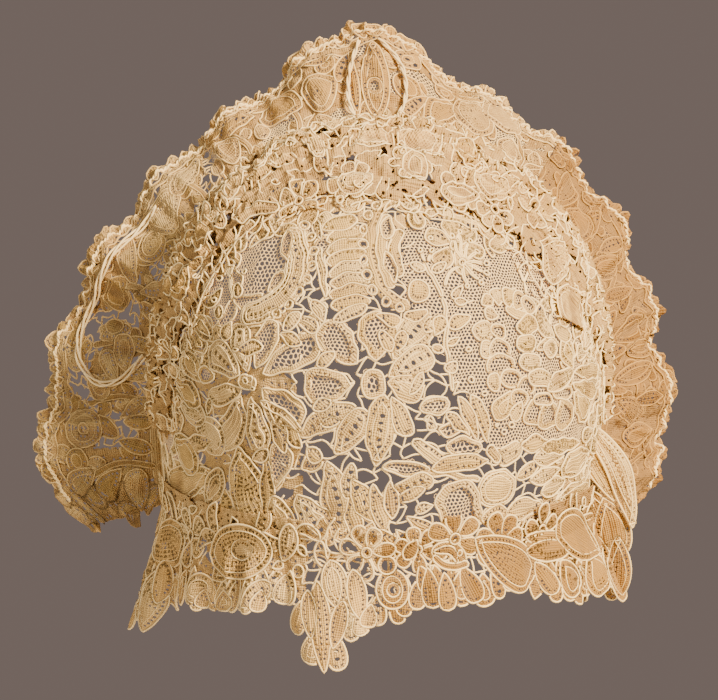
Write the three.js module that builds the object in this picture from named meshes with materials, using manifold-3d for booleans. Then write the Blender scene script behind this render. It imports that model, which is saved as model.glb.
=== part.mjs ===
// A lace bridal cap, seen from behind along +Y: a pierced lace crown, a ruched band over its top,
// a standing halo frill round the face with a cord along its edge, a hanging flounce at the nape,
// a gathering cord at the left and a loop of cord at the peak.
// Millimetres, +Z up, +Y towards the wearer's face. The origin is where the top of the head sits.
import * as THREE from "three";
import { mergeVertices } from "three/addons/utils/BufferGeometryUtils.js";
import Module from "manifold-3d";

const wasm = await Module();
wasm.setup();

// Driving dimensions of the head that the crown is cut for.
const headWidth = 170;
const headDepth = 192;
const crownRise = 96;
const lowerReach = 190;

// The crown's edges: the face edge lies in a leaning plane, and the hem is level.
const faceEdgeAtTop = 38;
const faceEdgeAtHem = -2;
const hemDrop = 48;

// The widest gap between flowers, and a hole of the ladders.
const widestGap = 10;
const ladderHole = 3;

// Cloth walls, and the gap that stitched pieces keep.
const crownWall = 1.2;
const frillWall = 1.2;
const seamGap = 0.7;

// The ruched band.
const bandSpan = 200;
const bandWidth = 88;
const bandThickness = 5;
const bandEdgeThickness = 1.6;
const bandSetBack = 5;
const bandGathers = 20;
const gatherDepth = 1.3;

// The halo frill and its cords.
const haloWidth = 50;
const haloSetBack = 2.5;
const haloFootRise = 0.1;
const haloFlutes = 13;
const haloFluteDepth = 4.5;
const haloBow = 0.24;
const haloScallops = 34;
const scallopDepth = 1.8;
const cordDiameter = 1.4;
const cordInset = 3.2;
const cordGap = 1.2;
const gatherCordDiameter = 2.2;

// The nape flounce.
const flounceLength = 36;
const flounceOverlap = 13;
const flounceFlare = 3;
const flounceScallops = 19;

const degrees = Math.PI / 180;
const centre = new THREE.Vector3(0, 0, -crownRise);

// The ruched band's run over the crown, left to right: turn in degrees from straight up, width from
// its seam behind the halo as a share of bandWidth, and bulk as a share of bandThickness.
const bandWidths = [
  { turn: -100, width: 0.5, bulk: 0.5 },
  { turn: -84, width: 0.66, bulk: 0.7 },
  { turn: -58, width: 0.76, bulk: 0.9 },
  { turn: -32, width: 0.84, bulk: 1 },
  { turn: -10, width: 0.95, bulk: 1 },
  { turn: 6, width: 1, bulk: 1 },
  { turn: 28, width: 0.91, bulk: 1 },
  { turn: 56, width: 0.8, bulk: 0.9 },
  { turn: 72, width: 0.55, bulk: 0.7 },
  { turn: 84, width: 0.3, bulk: 0.6 },
  { turn: 100, width: 0.16, bulk: 0.5 },
];

// The halo's run from the left ear over the top to the right ear. turn is where it leaves the crown
// and aim is where it points, both in degrees from straight up. width is a share of haloWidth,
// lean turns it towards the face, and flute is a share of haloFluteDepth.
const haloStations = [
  { turn: -121, aim: -106, width: 0.6, lean: -16, flute: 0.1 },
  { turn: -112, aim: -97, width: 0.98, lean: 8, flute: 0.7 },
  { turn: -92, aim: -88, width: 1.0, lean: 24, flute: 1.1 },
  { turn: -68, aim: -66, width: 0.94, lean: 42, flute: 0.9 },
  { turn: -44, aim: -42, width: 0.9, lean: 54, flute: 0.8 },
  { turn: -22, aim: -21, width: 0.9, lean: 52, flute: 0.7 },
  { turn: -8, aim: -11, width: 1.0, lean: 36, flute: 0.8 },
  { turn: 0, aim: -7, width: 1.04, lean: 32, flute: 0.8 },
  { turn: 8, aim: 1, width: 0.94, lean: 40, flute: 0.8 },
  { turn: 18, aim: 16, width: 0.84, lean: 54, flute: 0.7 },
  { turn: 46, aim: 44, width: 0.88, lean: 57, flute: 0.8 },
  { turn: 72, aim: 70, width: 0.9, lean: 56, flute: 0.8 },
  { turn: 96, aim: 90, width: 0.9, lean: 50, flute: 0.8 },
  { turn: 109, aim: 98, width: 0.86, lean: 46, flute: 0.6 },
  { turn: 121, aim: 103, width: 0.5, lean: 44, flute: 0.2 },
];

// The flounce's hem, left ear to right ear. at is degrees round the head, and hang and out are how
// far the hem falls and how far it stands out, as shares of flounceLength.
const flounceFolds = [
  { at: -80, hang: 1.7, out: 0.3 },
  { at: -73, hang: 1.44, out: 0.22 },
  { at: -65, hang: 1.2, out: -0.06 },
  { at: -52, hang: 1.12, out: 0.12 },
  { at: -42, hang: 1.06, out: 0.0 },
  { at: -33, hang: 1.04, out: 0.14 },
  { at: -24, hang: 0.86, out: -0.06 },
  { at: -18, hang: 1.2, out: 0.08 },
  { at: -13, hang: 1.54, out: 0.2 },
  { at: -8, hang: 1.2, out: 0.1 },
  { at: -2, hang: 1.08, out: 0.0 },
  { at: 6, hang: 0.94, out: 0.02 },
  { at: 15, hang: 0.84, out: 0.04 },
  { at: 25, hang: 0.9, out: 0.08 },
  { at: 33, hang: 0.8, out: 0.0 },
  { at: 39, hang: 0.68, out: -0.06 },
  { at: 45, hang: 0.9, out: 0.04 },
  { at: 52, hang: 1.07, out: 0.18 },
  { at: 60, hang: 1.0, out: 0.02 },
  { at: 70, hang: 1.12, out: 0.14 },
  { at: 82, hang: 1.4, out: 0.3 },
];

// The widest gaps between the flowers, on the back of the cap. across and up are shares of the
// head's half width and of crownRise from the crown's centre, long and short are shares of
// widestGap, and turn is in degrees.
const crownGaps = [
  { across: -0.24, up: 0.27, long: 1, short: 0.5, turn: 62 },
  { across: -0.25, up: 0.07, long: 0.9, short: 0.45, turn: 35 },
  { across: -0.22, up: 0.42, long: 0.6, short: 0.45, turn: 30 },
  { across: -0.11, up: 0.29, long: 0.45, short: 0.3, turn: 80 },
  { across: -0.34, up: -0.17, long: 0.9, short: 0.45, turn: 78 },
  { across: -0.07, up: -0.2, long: 0.6, short: 0.35, turn: 60 },
  { across: 0.08, up: -0.15, long: 0.8, short: 0.45, turn: -15 },
  { across: 0.16, up: -0.02, long: 0.7, short: 0.5, turn: 80 },
  { across: 0.2, up: -0.19, long: 0.6, short: 0.4, turn: 20 },
  { across: 0.1, up: -0.31, long: 0.7, short: 0.4, turn: 5 },
  { across: 0.36, up: -0.22, long: 0.9, short: 0.45, turn: 25 },
  { across: 0.59, up: -0.18, long: 0.7, short: 0.5, turn: 30 },
  { across: 0.7, up: -0.31, long: 0.6, short: 0.4, turn: -20 },
  { across: -0.52, up: 0.54, long: 0.7, short: 0.45, turn: 50 },
  { across: -0.68, up: 0.1, long: 0.6, short: 0.35, turn: 60 },
  { across: 0.42, up: 0.64, long: 0.6, short: 0.3, turn: -40 },
];

// The ladders of small holes round the two scrolls. across and up place the middle of each scroll,
// wide and high are the ladder's half width and half height, and from and to are degrees round it.
const ladders = [
  { across: 0.09, up: 0.63, wide: 0.15, high: 0.17, from: 105, to: 260, holes: 7 },
  { across: -0.48, up: 0.57, wide: 0.2, high: 0.2, from: 40, to: -50, holes: 6 },
];

// The gaps in the flounce. along runs from its left end to its right and down from its seam, as
// shares of the flounce, and long and short are shares of widestGap.
const flounceGaps = [
  { along: 0.14, down: 0.55, long: 0.6, short: 0.4, turn: 60 },
  { along: 0.2, down: 0.72, long: 0.5, short: 0.35, turn: 20 },
  { along: 0.31, down: 0.5, long: 0.6, short: 0.3, turn: 80 },
  { along: 0.375, down: 0.62, long: 0.9, short: 0.4, turn: 85 },
  { along: 0.46, down: 0.68, long: 0.7, short: 0.35, turn: 80 },
  { along: 0.53, down: 0.5, long: 0.9, short: 0.5, turn: 15 },
  { along: 0.6, down: 0.66, long: 0.8, short: 0.45, turn: -20 },
  { along: 0.66, down: 0.46, long: 0.8, short: 0.5, turn: 30 },
  { along: 0.72, down: 0.7, long: 0.8, short: 0.4, turn: 10 },
  { along: 0.81, down: 0.55, long: 0.8, short: 0.4, turn: -15 },
  { along: 0.9, down: 0.6, long: 0.6, short: 0.4, turn: 40 },
];

// The gathering cord's route over the left of the halo. at is the share of its length so far, turn
// is in degrees, share is how far out on the frill it lies and off how far it stands off the lace.
const gatherCordRoute = [
  { at: 0, turn: -55, share: 0.6, off: 2.4 },
  { at: 0.15, turn: -64, share: 0.68, off: 2.4 },
  { at: 0.32, turn: -74, share: 0.73, off: 2.6 },
  { at: 0.48, turn: -84, share: 0.73, off: 3.0 },
  { at: 0.58, turn: -90, share: 0.62, off: 3.4 },
  { at: 0.7, turn: -93, share: 0.45, off: 3.6 },
  { at: 0.85, turn: -91, share: 0.26, off: 3.4 },
  { at: 1, turn: -86, share: 0.12, off: 3.0 },
];

// The route of the loop of cord that hangs from the peak over the back of the halo.
const peakLoopRoute = [
  { at: 0, turn: -1.5, share: 0.82, off: 1.65 },
  { at: 0.2, turn: -5, share: 0.5, off: 2.8 },
  { at: 0.34, turn: -6, share: 0.27, off: 3.2 },
  { at: 0.43, turn: -4.5, share: 0.13, off: 3.8 },
  { at: 0.5, turn: -0.5, share: 0.07, off: 4.2 },
  { at: 0.57, turn: 3.5, share: 0.12, off: 3.8 },
  { at: 0.68, turn: 6, share: 0.3, off: 3.2 },
  { at: 0.84, turn: 5.5, share: 0.6, off: 2.8 },
  { at: 1, turn: 2, share: 0.82, off: 1.65 },
];

// The value of one column of a table of rows, on a smooth curve through them.
function tableValue(rows, key, column, at) {
  const last = rows.length - 1;
  let i = 0;
  while (i < last - 1 && at > rows[i + 1][key]) i += 1;
  const slope = (k) => {
    const before = rows[Math.max(k - 1, 0)];
    const after = rows[Math.min(k + 1, last)];
    return (after[column] - before[column]) / (after[key] - before[key]);
  };
  const step = rows[i + 1][key] - rows[i][key];
  const t = THREE.MathUtils.clamp((at - rows[i][key]) / step, 0, 1);
  const s = t * t * (3 - 2 * t);
  return (
    rows[i][column] * (1 - s) +
    rows[i + 1][column] * s +
    step * t * (1 - t) * ((1 - t) * slope(i) - t * slope(i + 1))
  );
}

// A point of the crown. turn goes round the back of the head from straight up, positive to the
// right, tilt goes away from the middle of the back, and lift is how far out of the head it is.
function crownPoint(turn, tilt, lift) {
  const way = new THREE.Vector3(
    Math.sin(tilt) * Math.sin(turn),
    -Math.cos(tilt),
    Math.sin(tilt) * Math.cos(turn),
  );
  const height = way.z > 0 ? crownRise : lowerReach;
  const reach =
    1 /
    Math.hypot(
      way.x / (headWidth / 2 + lift),
      way.y / (headDepth / 2 + lift),
      way.z / (height + lift),
    );
  return way.multiplyScalar(reach).add(centre);
}

// The place of the face edge along Y at a height above the crown's centre.
function faceEdge(height) {
  const share = (height + hemDrop) / (crownRise + hemDrop);
  return faceEdgeAtHem + share * (faceEdgeAtTop - faceEdgeAtHem);
}

// How far the crown reaches from the middle of the back in one direction.
function crownReach(turn) {
  let near = 0.1;
  let far = 0.9 * Math.PI;
  for (let i = 0; i < 40; i += 1) {
    const tilt = (near + far) / 2;
    const p = crownPoint(turn, tilt, 0).sub(centre);
    if (p.y < faceEdge(p.z) && p.z > -hemDrop) near = tilt;
    else far = tilt;
  }
  return near;
}

// The direction of the crown's lower front corner, where the face edge meets the hem.
const cornerTurn = (() => {
  const y = faceEdge(-hemDrop);
  const x = (headWidth / 2) * Math.sqrt(1 - (y / (headDepth / 2)) ** 2 - (hemDrop / lowerReach) ** 2);
  return Math.atan2(x, -hemDrop);
})();
const tiltPerMillimetre = 1 / ((headWidth + headDepth) / 4);

// Vertices and triangles as a geometry whose faces point outwards.
function closedGeometry(points, triangles) {
  let volume = 0;
  for (const [a, b, c] of triangles)
    volume += points[a].dot(points[b].clone().cross(points[c]));
  const turned = volume < 0 ? triangles.map(([a, b, c]) => [a, c, b]) : triangles;
  const geometry = new THREE.BufferGeometry();
  geometry.setAttribute(
    "position",
    new THREE.Float32BufferAttribute(points.flatMap((p) => p.toArray()), 3),
  );
  geometry.setIndex(turned.flat());
  return geometry;
}

// A wall about the surface at(u, v), both from 0 to 1.
function sheetGeometry(at, uSteps, vSteps, thickness) {
  const points = [];
  const small = 1e-3;
  for (const side of [0.5, -0.5])
    for (let i = 0; i <= uSteps; i += 1)
      for (let j = 0; j <= vSteps; j += 1) {
        const u = i / uSteps;
        const v = j / vSteps;
        const alongU = at(u + small, v).sub(at(u - small, v));
        const alongV = at(u, v + small).sub(at(u, v - small));
        const normal = alongU.cross(alongV).normalize();
        points.push(at(u, v).addScaledVector(normal, side * thickness));
      }
  const row = vSteps + 1;
  const back = row * (uSteps + 1);
  const triangles = [];
  const quad = (a, b, c, d) => triangles.push([a, b, c], [a, c, d]);
  for (let i = 0; i < uSteps; i += 1)
    for (let j = 0; j < vSteps; j += 1) {
      const a = i * row + j;
      quad(a, a + row, a + row + 1, a + 1);
      quad(back + a, back + a + 1, back + a + row + 1, back + a + row);
    }
  for (let i = 0; i < uSteps; i += 1) {
    const a = i * row;
    quad(a, back + a, back + a + row, a + row);
    const b = a + vSteps;
    quad(b, b + row, back + b + row, back + b);
  }
  for (let j = 0; j < vSteps; j += 1) {
    quad(j, j + 1, back + j + 1, back + j);
    const b = uSteps * row + j;
    quad(b, back + b, back + b + 1, b + 1);
  }
  return closedGeometry(points, triangles);
}

// A solid through rings of points, each ring the same size, with flat fans over its two ends.
function loftGeometry(rings) {
  const points = rings.flat();
  const size = rings[0].length;
  const triangles = [];
  for (let i = 0; i + 1 < rings.length; i += 1)
    for (let j = 0; j < size; j += 1) {
      const a = i * size + j;
      const b = i * size + ((j + 1) % size);
      triangles.push([a, b, b + size], [a, b + size, a + size]);
    }
  for (const end of [0, rings.length - 1]) {
    const middle = new THREE.Vector3();
    rings[end].forEach((p) => middle.addScaledVector(p, 1 / size));
    points.push(middle);
    for (let j = 0; j < size; j += 1) {
      const a = end * size + j;
      const b = end * size + ((j + 1) % size);
      const fan = [points.length - 1, a, b];
      triangles.push(end ? fan : fan.reverse());
    }
  }
  return closedGeometry(points, triangles);
}

function solidOf(geometry) {
  const bare = geometry.clone();
  bare.deleteAttribute("normal");
  bare.deleteAttribute("uv");
  const merged = mergeVertices(bare, 1e-4);
  return new wasm.Manifold(
    new wasm.Mesh({
      numProp: 3,
      vertProperties: new Float32Array(merged.attributes.position.array),
      triVerts: new Uint32Array(merged.index.array),
    }),
  );
}

function geometryOf(solid) {
  const { vertProperties, triVerts } = solid.getMesh();
  const geometry = new THREE.BufferGeometry();
  geometry.setAttribute("position", new THREE.BufferAttribute(vertProperties, 3));
  geometry.setIndex(new THREE.BufferAttribute(triVerts, 1));
  geometry.computeVertexNormals();
  return geometry;
}

// An oval cutter that goes straight through a wall at one place.
function gapCutter(place, normal, up, gap) {
  const cutterLength = 0.9 * widestGap;
  const across = up.clone().cross(normal).normalize();
  const along = normal.clone().cross(across);
  const turn = gap.turn * degrees;
  const longWay = across.clone().multiplyScalar(Math.cos(turn)).addScaledVector(along, Math.sin(turn));
  const shortWay = normal.clone().cross(longWay);
  const frame = new THREE.Matrix4().makeBasis(longWay, normal, shortWay.negate());
  const oval = new THREE.CylinderGeometry(1, 1, cutterLength, 6);
  oval.scale((gap.long * widestGap) / 2, 1, (gap.short * widestGap) / 2);
  return solidOf(oval.applyMatrix4(frame).translate(...place));
}

function pierced(geometry, cutters) {
  return geometryOf(cutters.reduce((left, cutter) => left.subtract(cutter), solidOf(geometry)));
}

// The crown: a shell from the middle of the back out to the face edge and the hem.
function crownGeometry() {
  const faceSteps = 34;
  const hemSteps = 14;
  const reachSteps = 9;
  const turns = [];
  for (let i = 0; i < faceSteps; i += 1)
    turns.push(-cornerTurn + (2 * cornerTurn * i) / faceSteps);
  for (let i = 0; i < hemSteps; i += 1)
    turns.push(cornerTurn + ((2 * Math.PI - 2 * cornerTurn) * i) / hemSteps);
  const points = [];
  const triangles = [];
  for (const lift of [0, crownWall]) {
    points.push(crownPoint(0, 0, lift));
    for (const turn of turns)
      for (let k = 1; k <= reachSteps; k += 1)
        points.push(crownPoint(turn, (crownReach(turn) * k) / reachSteps, lift));
  }
  const side = 1 + turns.length * reachSteps;
  const index = (i, k) => 1 + (i % turns.length) * reachSteps + k - 1;
  for (let i = 0; i < turns.length; i += 1) {
    triangles.push([0, index(i, 1), index(i + 1, 1)]);
    triangles.push([side, side + index(i + 1, 1), side + index(i, 1)]);
    for (let k = 1; k < reachSteps; k += 1) {
      const [a, b, c, d] = [index(i, k), index(i, k + 1), index(i + 1, k + 1), index(i + 1, k)];
      triangles.push([a, b, c], [a, c, d]);
      triangles.push([side + a, side + c, side + b], [side + a, side + d, side + c]);
    }
    const [a, b] = [index(i, reachSteps), index(i + 1, reachSteps)];
    triangles.push([a, side + a, side + b], [a, side + b, b]);
  }
  const ladderGaps = ladders.flatMap(({ across, up, wide, high, from, to, holes }) =>
    Array.from({ length: holes }, (unused, i) => {
      const angle = (from + ((to - from) * i) / (holes - 1)) * degrees;
      return {
        across: across + wide * Math.cos(angle),
        up: up + high * Math.sin(angle),
        long: ladderHole / widestGap,
        short: ladderHole / widestGap,
        turn: 0,
      };
    }),
  );
  const cutters = [...crownGaps, ...ladderGaps].map((gap) => {
    const x = (gap.across * headWidth) / 2;
    const z = gap.up * crownRise;
    const height = z > 0 ? crownRise : lowerReach;
    const y = -(headDepth / 2) * Math.sqrt(1 - (x / (headWidth / 2)) ** 2 - (z / height) ** 2);
    const place = new THREE.Vector3(x, y, z);
    const normal = new THREE.Vector3(
      x / (headWidth / 2) ** 2,
      y / (headDepth / 2) ** 2,
      z / height ** 2,
    ).normalize();
    return gapCutter(place.add(centre), normal, new THREE.Vector3(0, 0.2, 1), gap);
  });
  return pierced(closedGeometry(points, triangles), cutters);
}

// The ruched band: a padded arch of gathered lace that covers the top of the crown behind the halo.
function bandGeometry() {
  const archSteps = 60;
  const acrossSteps = 6;
  const rings = [];
  for (let i = 0; i <= archSteps; i += 1) {
    const turnDegrees = bandSpan * (i / archSteps - 0.5);
    const turn = turnDegrees * degrees;
    const width = tableValue(bandWidths, "turn", "width", turnDegrees) * bandWidth;
    const bulk = tableValue(bandWidths, "turn", "bulk", turnDegrees) * bandThickness;
    const gather = Math.cos((i / archSteps) * bandGathers * 2 * Math.PI) * gatherDepth;
    const front = crownReach(turn) - bandSetBack * tiltPerMillimetre;
    const back = front - (width + gather) * tiltPerMillimetre;
    const under = crownWall + seamGap;
    const ring = [];
    for (let k = 0; k <= acrossSteps; k += 1) {
      const share = k / acrossSteps;
      const hump = Math.sqrt(Math.sin(Math.PI * share) + 1e-9);
      const top = bandEdgeThickness + hump * (bulk - bandEdgeThickness + gather);
      ring.push(crownPoint(turn, back + (front - back) * share, under + top));
    }
    for (let k = 0; k <= acrossSteps; k += 1)
      ring.push(crownPoint(turn, front + (back - front) * (k / acrossSteps), under));
    rings.push(ring);
  }
  return loftGeometry(rings);
}

// The halo frill's middle surface. u runs from the left ear over the top to the right ear, and
// share runs from its seam on the crown to its outer edge.
function haloPoint(u, share) {
  const turnDegrees = (cornerTurn / degrees) * (2 * u - 1);
  const turn = turnDegrees * degrees;
  const value = (column) => tableValue(haloStations, "turn", column, turnDegrees);
  const aim = value("aim") * degrees;
  const lean = value("lean") * degrees;
  const scallop = Math.abs(Math.sin(u * haloScallops * Math.PI)) - 1;
  const width = value("width") * haloWidth + scallop * scallopDepth;
  const outward = new THREE.Vector3(Math.sin(aim), 0, Math.cos(aim));
  const forward = new THREE.Vector3(0, 1, 0);
  const way = outward.clone().multiplyScalar(Math.cos(lean)).addScaledVector(forward, Math.sin(lean));
  const across = outward.clone().multiplyScalar(Math.sin(lean)).addScaledVector(forward, -Math.cos(lean));
  const seat = crownReach(turn) - haloSetBack * tiltPerMillimetre;
  const flute = value("flute") * haloFluteDepth * Math.sin(haloFlutes * 2 * Math.PI * (u - 0.5));
  return crownPoint(turn, seat, crownWall + seamGap + haloFootRise)
    .addScaledVector(way, width * share)
    .addScaledVector(across, flute * Math.max(share, 0) ** 1.4 + haloBow * width * share * (1 - share));
}

function haloGeometry() {
  const gaps = [];
  const gapCount = 22;
  for (let i = 0; i < gapCount; i += 1) {
    const u = (i + 0.7) / (gapCount + 0.4);
    gaps.push({ u, share: i % 2 ? 0.42 : 0.66, long: 0.55, short: 0.34, turn: 20 + 47 * i });
  }
  const cutters = gaps.map((gap) => sheetCutter(haloPoint, gap.u, gap.share, gap));
  return pierced(sheetGeometry(haloPoint, 76, 5, frillWall), cutters);
}

// A cutter through a frill at one place of its surface.
function sheetCutter(at, u, v, gap) {
  const small = 1e-3;
  const alongU = at(u + small, v).sub(at(u - small, v));
  const alongV = at(u, v + small).sub(at(u, v - small));
  const normal = alongU.cross(alongV.clone()).normalize();
  return gapCutter(at(u, v), normal, alongV, gap);
}

// The nape flounce's middle surface. u runs from the left ear round the back to the right ear, and
// share runs from its seam down to its hem.
const flounceFromDegrees = -80;
const flounceToDegrees = 82;
function flouncePoint(u, share) {
  const at = flounceFromDegrees + (flounceToDegrees - flounceFromDegrees) * u;
  const hang = tableValue(flounceFolds, "at", "hang", at) * flounceLength;
  const out = tableValue(flounceFolds, "at", "out", at) * flounceLength;
  const scallop = (Math.abs(Math.sin(u * flounceScallops * Math.PI)) - 1) * scallopDepth;
  const top = -hemDrop + flounceOverlap;
  const height = top - share * (hang + scallop);
  const seated = Math.max(height, -hemDrop);
  const lift = crownWall + seamGap + frillWall / 2;
  const level = Math.sqrt(1 - (seated / (lowerReach + lift)) ** 2);
  const free = Math.max(share - flounceOverlap / hang, 0) / (1 - flounceOverlap / hang);
  const spreadOut = (flounceFlare + out) * free;
  const turn = at * degrees;
  return new THREE.Vector3(
    Math.sin(turn) * ((headWidth / 2 + lift) * level + spreadOut),
    -Math.cos(turn) * ((headDepth / 2 + lift) * level + spreadOut),
    height,
  ).add(centre);
}

function flounceGeometry() {
  const cutters = flounceGaps.map((gap) => sheetCutter(flouncePoint, gap.along, gap.down, gap));
  return pierced(sheetGeometry(flouncePoint, 68, 4, frillWall), cutters);
}

// A round cord along a list of points.
function cordGeometry(route, diameter, steps, sides) {
  const section = new THREE.Shape();
  for (let i = 0; i < sides; i += 1) {
    const angle = (i / sides) * 2 * Math.PI;
    const corner = [(diameter / 2) * Math.cos(angle), (diameter / 2) * Math.sin(angle)];
    if (i) section.lineTo(...corner);
    else section.moveTo(...corner);
  }
  const extrudePath = new THREE.CatmullRomCurve3(route);
  const made = new THREE.ExtrudeGeometry(section, { steps, extrudePath, bevelEnabled: false });
  return geometryOf(solidOf(made));
}

// A point that stands off the back of the halo.
function offHalo(turnDegrees, share, off) {
  const u = (turnDegrees * degrees / cornerTurn + 1) / 2;
  const small = 1e-3;
  const alongU = haloPoint(u + small, share).sub(haloPoint(u - small, share));
  const alongV = haloPoint(u, share + small).sub(haloPoint(u, share - small));
  const normal = alongU.cross(alongV).normalize();
  if (normal.y > 0) normal.negate();
  return haloPoint(u, share).addScaledVector(normal, off);
}

// The cord that runs along the back of the halo near its outer edge.
function edgeCordGeometry() {
  const points = 90;
  const end = cornerTurn / degrees - 4;
  const route = [];
  for (let i = 0; i <= points; i += 1) {
    const turn = -end + (2 * end * i) / points;
    const width = tableValue(haloStations, "turn", "width", turn) * haloWidth;
    const off = frillWall / 2 + cordGap + cordDiameter / 2;
    route.push(offHalo(turn, 1 - (cordInset + scallopDepth) / width, off));
  }
  return cordGeometry(route, cordDiameter, 52, 6);
}

// A cord laid over the back of the halo along a table of places.
function laidCordGeometry(rows, diameter, steps) {
  const route = [];
  for (let i = 0; i <= steps; i += 1) {
    const value = (column) => tableValue(rows, "at", column, i / steps);
    route.push(offHalo(value("turn"), value("share"), value("off")));
  }
  return cordGeometry(route, diameter, steps, 8);
}

const cream = 0xe8d7b4;
const gold = 0xc9a36a;
const part = new THREE.Group();
function addPiece(name, geometry, color, roughness) {
  const mesh = new THREE.Mesh(
    geometry,
    new THREE.MeshStandardMaterial({ color, roughness, metalness: 0 }),
  );
  mesh.name = name;
  part.add(mesh);
}
addPiece("crown", crownGeometry(), cream, 0.9);
addPiece("ruched_band", bandGeometry(), cream, 0.92);
addPiece("halo_frill", haloGeometry(), cream, 0.9);
addPiece("nape_flounce", flounceGeometry(), cream, 0.9);
addPiece("halo_edge_cord", edgeCordGeometry(), gold, 0.8);
addPiece("gathering_cord", laidCordGeometry(gatherCordRoute, gatherCordDiameter, 22), gold, 0.8);
addPiece("peak_loop", laidCordGeometry(peakLoopRoute, cordDiameter, 26), gold, 0.8);

export default part;
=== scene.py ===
"""A lace bridal cap: pierced crown, ruched band, standing halo frill, nape flounce and their cords.

Shapes are worked out in millimetres in the part's own frame and put into the meshes in metres. Each
panel of lace is drawn flat, on a chart of its own, and then laid on the cap.
"""
import math

import bpy
import numpy as np
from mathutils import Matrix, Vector


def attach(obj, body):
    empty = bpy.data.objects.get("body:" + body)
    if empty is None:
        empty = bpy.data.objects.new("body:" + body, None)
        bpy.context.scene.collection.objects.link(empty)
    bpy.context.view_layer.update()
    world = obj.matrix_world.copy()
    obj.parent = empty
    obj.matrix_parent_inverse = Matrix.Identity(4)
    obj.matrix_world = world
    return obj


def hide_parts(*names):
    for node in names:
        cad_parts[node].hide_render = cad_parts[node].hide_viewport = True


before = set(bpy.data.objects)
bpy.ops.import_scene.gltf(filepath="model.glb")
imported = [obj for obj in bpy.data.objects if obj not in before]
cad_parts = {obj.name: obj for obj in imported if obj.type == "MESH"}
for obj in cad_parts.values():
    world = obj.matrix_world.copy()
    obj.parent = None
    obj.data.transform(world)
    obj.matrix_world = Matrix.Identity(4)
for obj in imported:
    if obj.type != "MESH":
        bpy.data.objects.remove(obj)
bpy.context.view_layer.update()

# The head that the cap is cut for, and the cap's edges, in millimetres, as in the model.
HALF_WIDTH, HALF_DEPTH, RISE, LOWER = 85.0, 96.0, 96.0, 190.0
EDGE_TOP, EDGE_HEM, HEM_DROP = 38.0, -2.0, 48.0
WALL, FRILL_WALL, SEAM, FOOT_RISE = 1.2, 1.2, 0.7, 0.1
HALO_WIDTH, HALO_INSET = 50.0, 2.5
FLUTES, FLUTE_DEPTH, SCALLOPS, SCALLOP_DEPTH = 26, 4.5, 34, 0.6
FLOUNCE_HANG, FLOUNCE_SEAM, FLOUNCE_SPREAD = 36.0, 13, 3
BAND_INSET, BAND_BULK = 5, 5.0
# How far to tilt, in radians, for each millimetre along the crown.
PER_MM = 1 / 90.5
# Where the crown's edge meets its hem, in degrees of turn from the top.
END_TURN = math.degrees(
    math.atan2(
        HALF_WIDTH * math.sqrt(1 - (EDGE_HEM / HALF_DEPTH) ** 2 - (HEM_DROP / LOWER) ** 2),
        -HEM_DROP,
    )
)
CENTRE = np.array([0.0, 0.0, -RISE])
# The charts' scales: the halo's chart runs this far to each side, in millimetres, and the band's
# and the flounce's are this many millimetres long for a degree of turn.
HALO_ARC, BAND_MM, FLOUNCE_MM = 231.0, 1.6, 1.6
# How far the crown's lace lies over the head's shape, and how much of a motif's height is shown
# where the cloth lies close, on the crown and the band.
CROWN_LIFT, RELIEF = 0.85, 0.9
# A cover that is well inside the cloth, for places that an opening leaves alone.
CLEAR = 9.0
# Points along one bar, and along one curl of thread.
BAR_POINTS, CURL_POINTS = 7, 13
# The finished lace's thickness, in metres.
LACE_THICKNESS = 0.00026
FLOWER_PATTERNS = ("rim ladder", "rim rows", "rim heart", "rim vein")

# The band: turn in degrees, width in millimetres, bulk as a share of the fullest.
BAND = [
    (-100, 44, 0.5), (-84, 58.08, 0.7), (-58, 66.88, 0.9), (-32, 73.92, 1), (-10, 83.6, 1),
    (6, 88, 1), (28, 80.08, 1), (56, 70.4, 0.9), (72, 48.4, 0.7), (84, 26.4, 0.6),
    (100, 14.08, 0.5),
]
# The halo: turn and aim in degrees, width as a share, lean in degrees, depth of flutes as a share.
HALO = [
    (-121, -106, 0.6, -16, 0.1), (-112, -97, 0.98, 8, 0.7), (-92, -88, 1.0, 24, 1.1),
    (-68, -66, 0.94, 42, 0.9), (-44, -42, 0.9, 54, 0.8), (-22, -21, 0.9, 52, 0.7),
    (-8, -11, 1.0, 36, 0.8), (0, -7, 1.04, 32, 0.8), (8, 1, 0.94, 40, 0.8),
    (18, 16, 0.84, 54, 0.7), (46, 44, 0.88, 57, 0.8), (72, 70, 0.9, 56, 0.8),
    (96, 90, 0.9, 50, 0.8), (109, 98, 0.86, 46, 0.6), (121, 103, 0.5, 44, 0.2),
]
# The flounce: turn in degrees from straight back, how far it hangs and how far it stands out.
FLOUNCE = [
    (-80, 1.7, 0.3), (-73, 1.44, 0.22), (-65, 1.2, -0.06), (-52, 1.12, 0.12), (-42, 1.06, 0.0),
    (-33, 1.04, 0.14), (-24, 0.86, -0.06), (-18, 1.2, 0.08), (-13, 1.54, 0.2), (-8, 1.2, 0.1),
    (-2, 1.08, 0.0), (6, 0.94, 0.02), (15, 0.84, 0.04), (25, 0.9, 0.08), (33, 0.8, 0.0),
    (39, 0.68, -0.06), (45, 0.9, 0.04), (52, 1.07, 0.18), (60, 1.0, 0.02), (70, 1.12, 0.14),
    (82, 1.4, 0.3),
]
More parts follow.
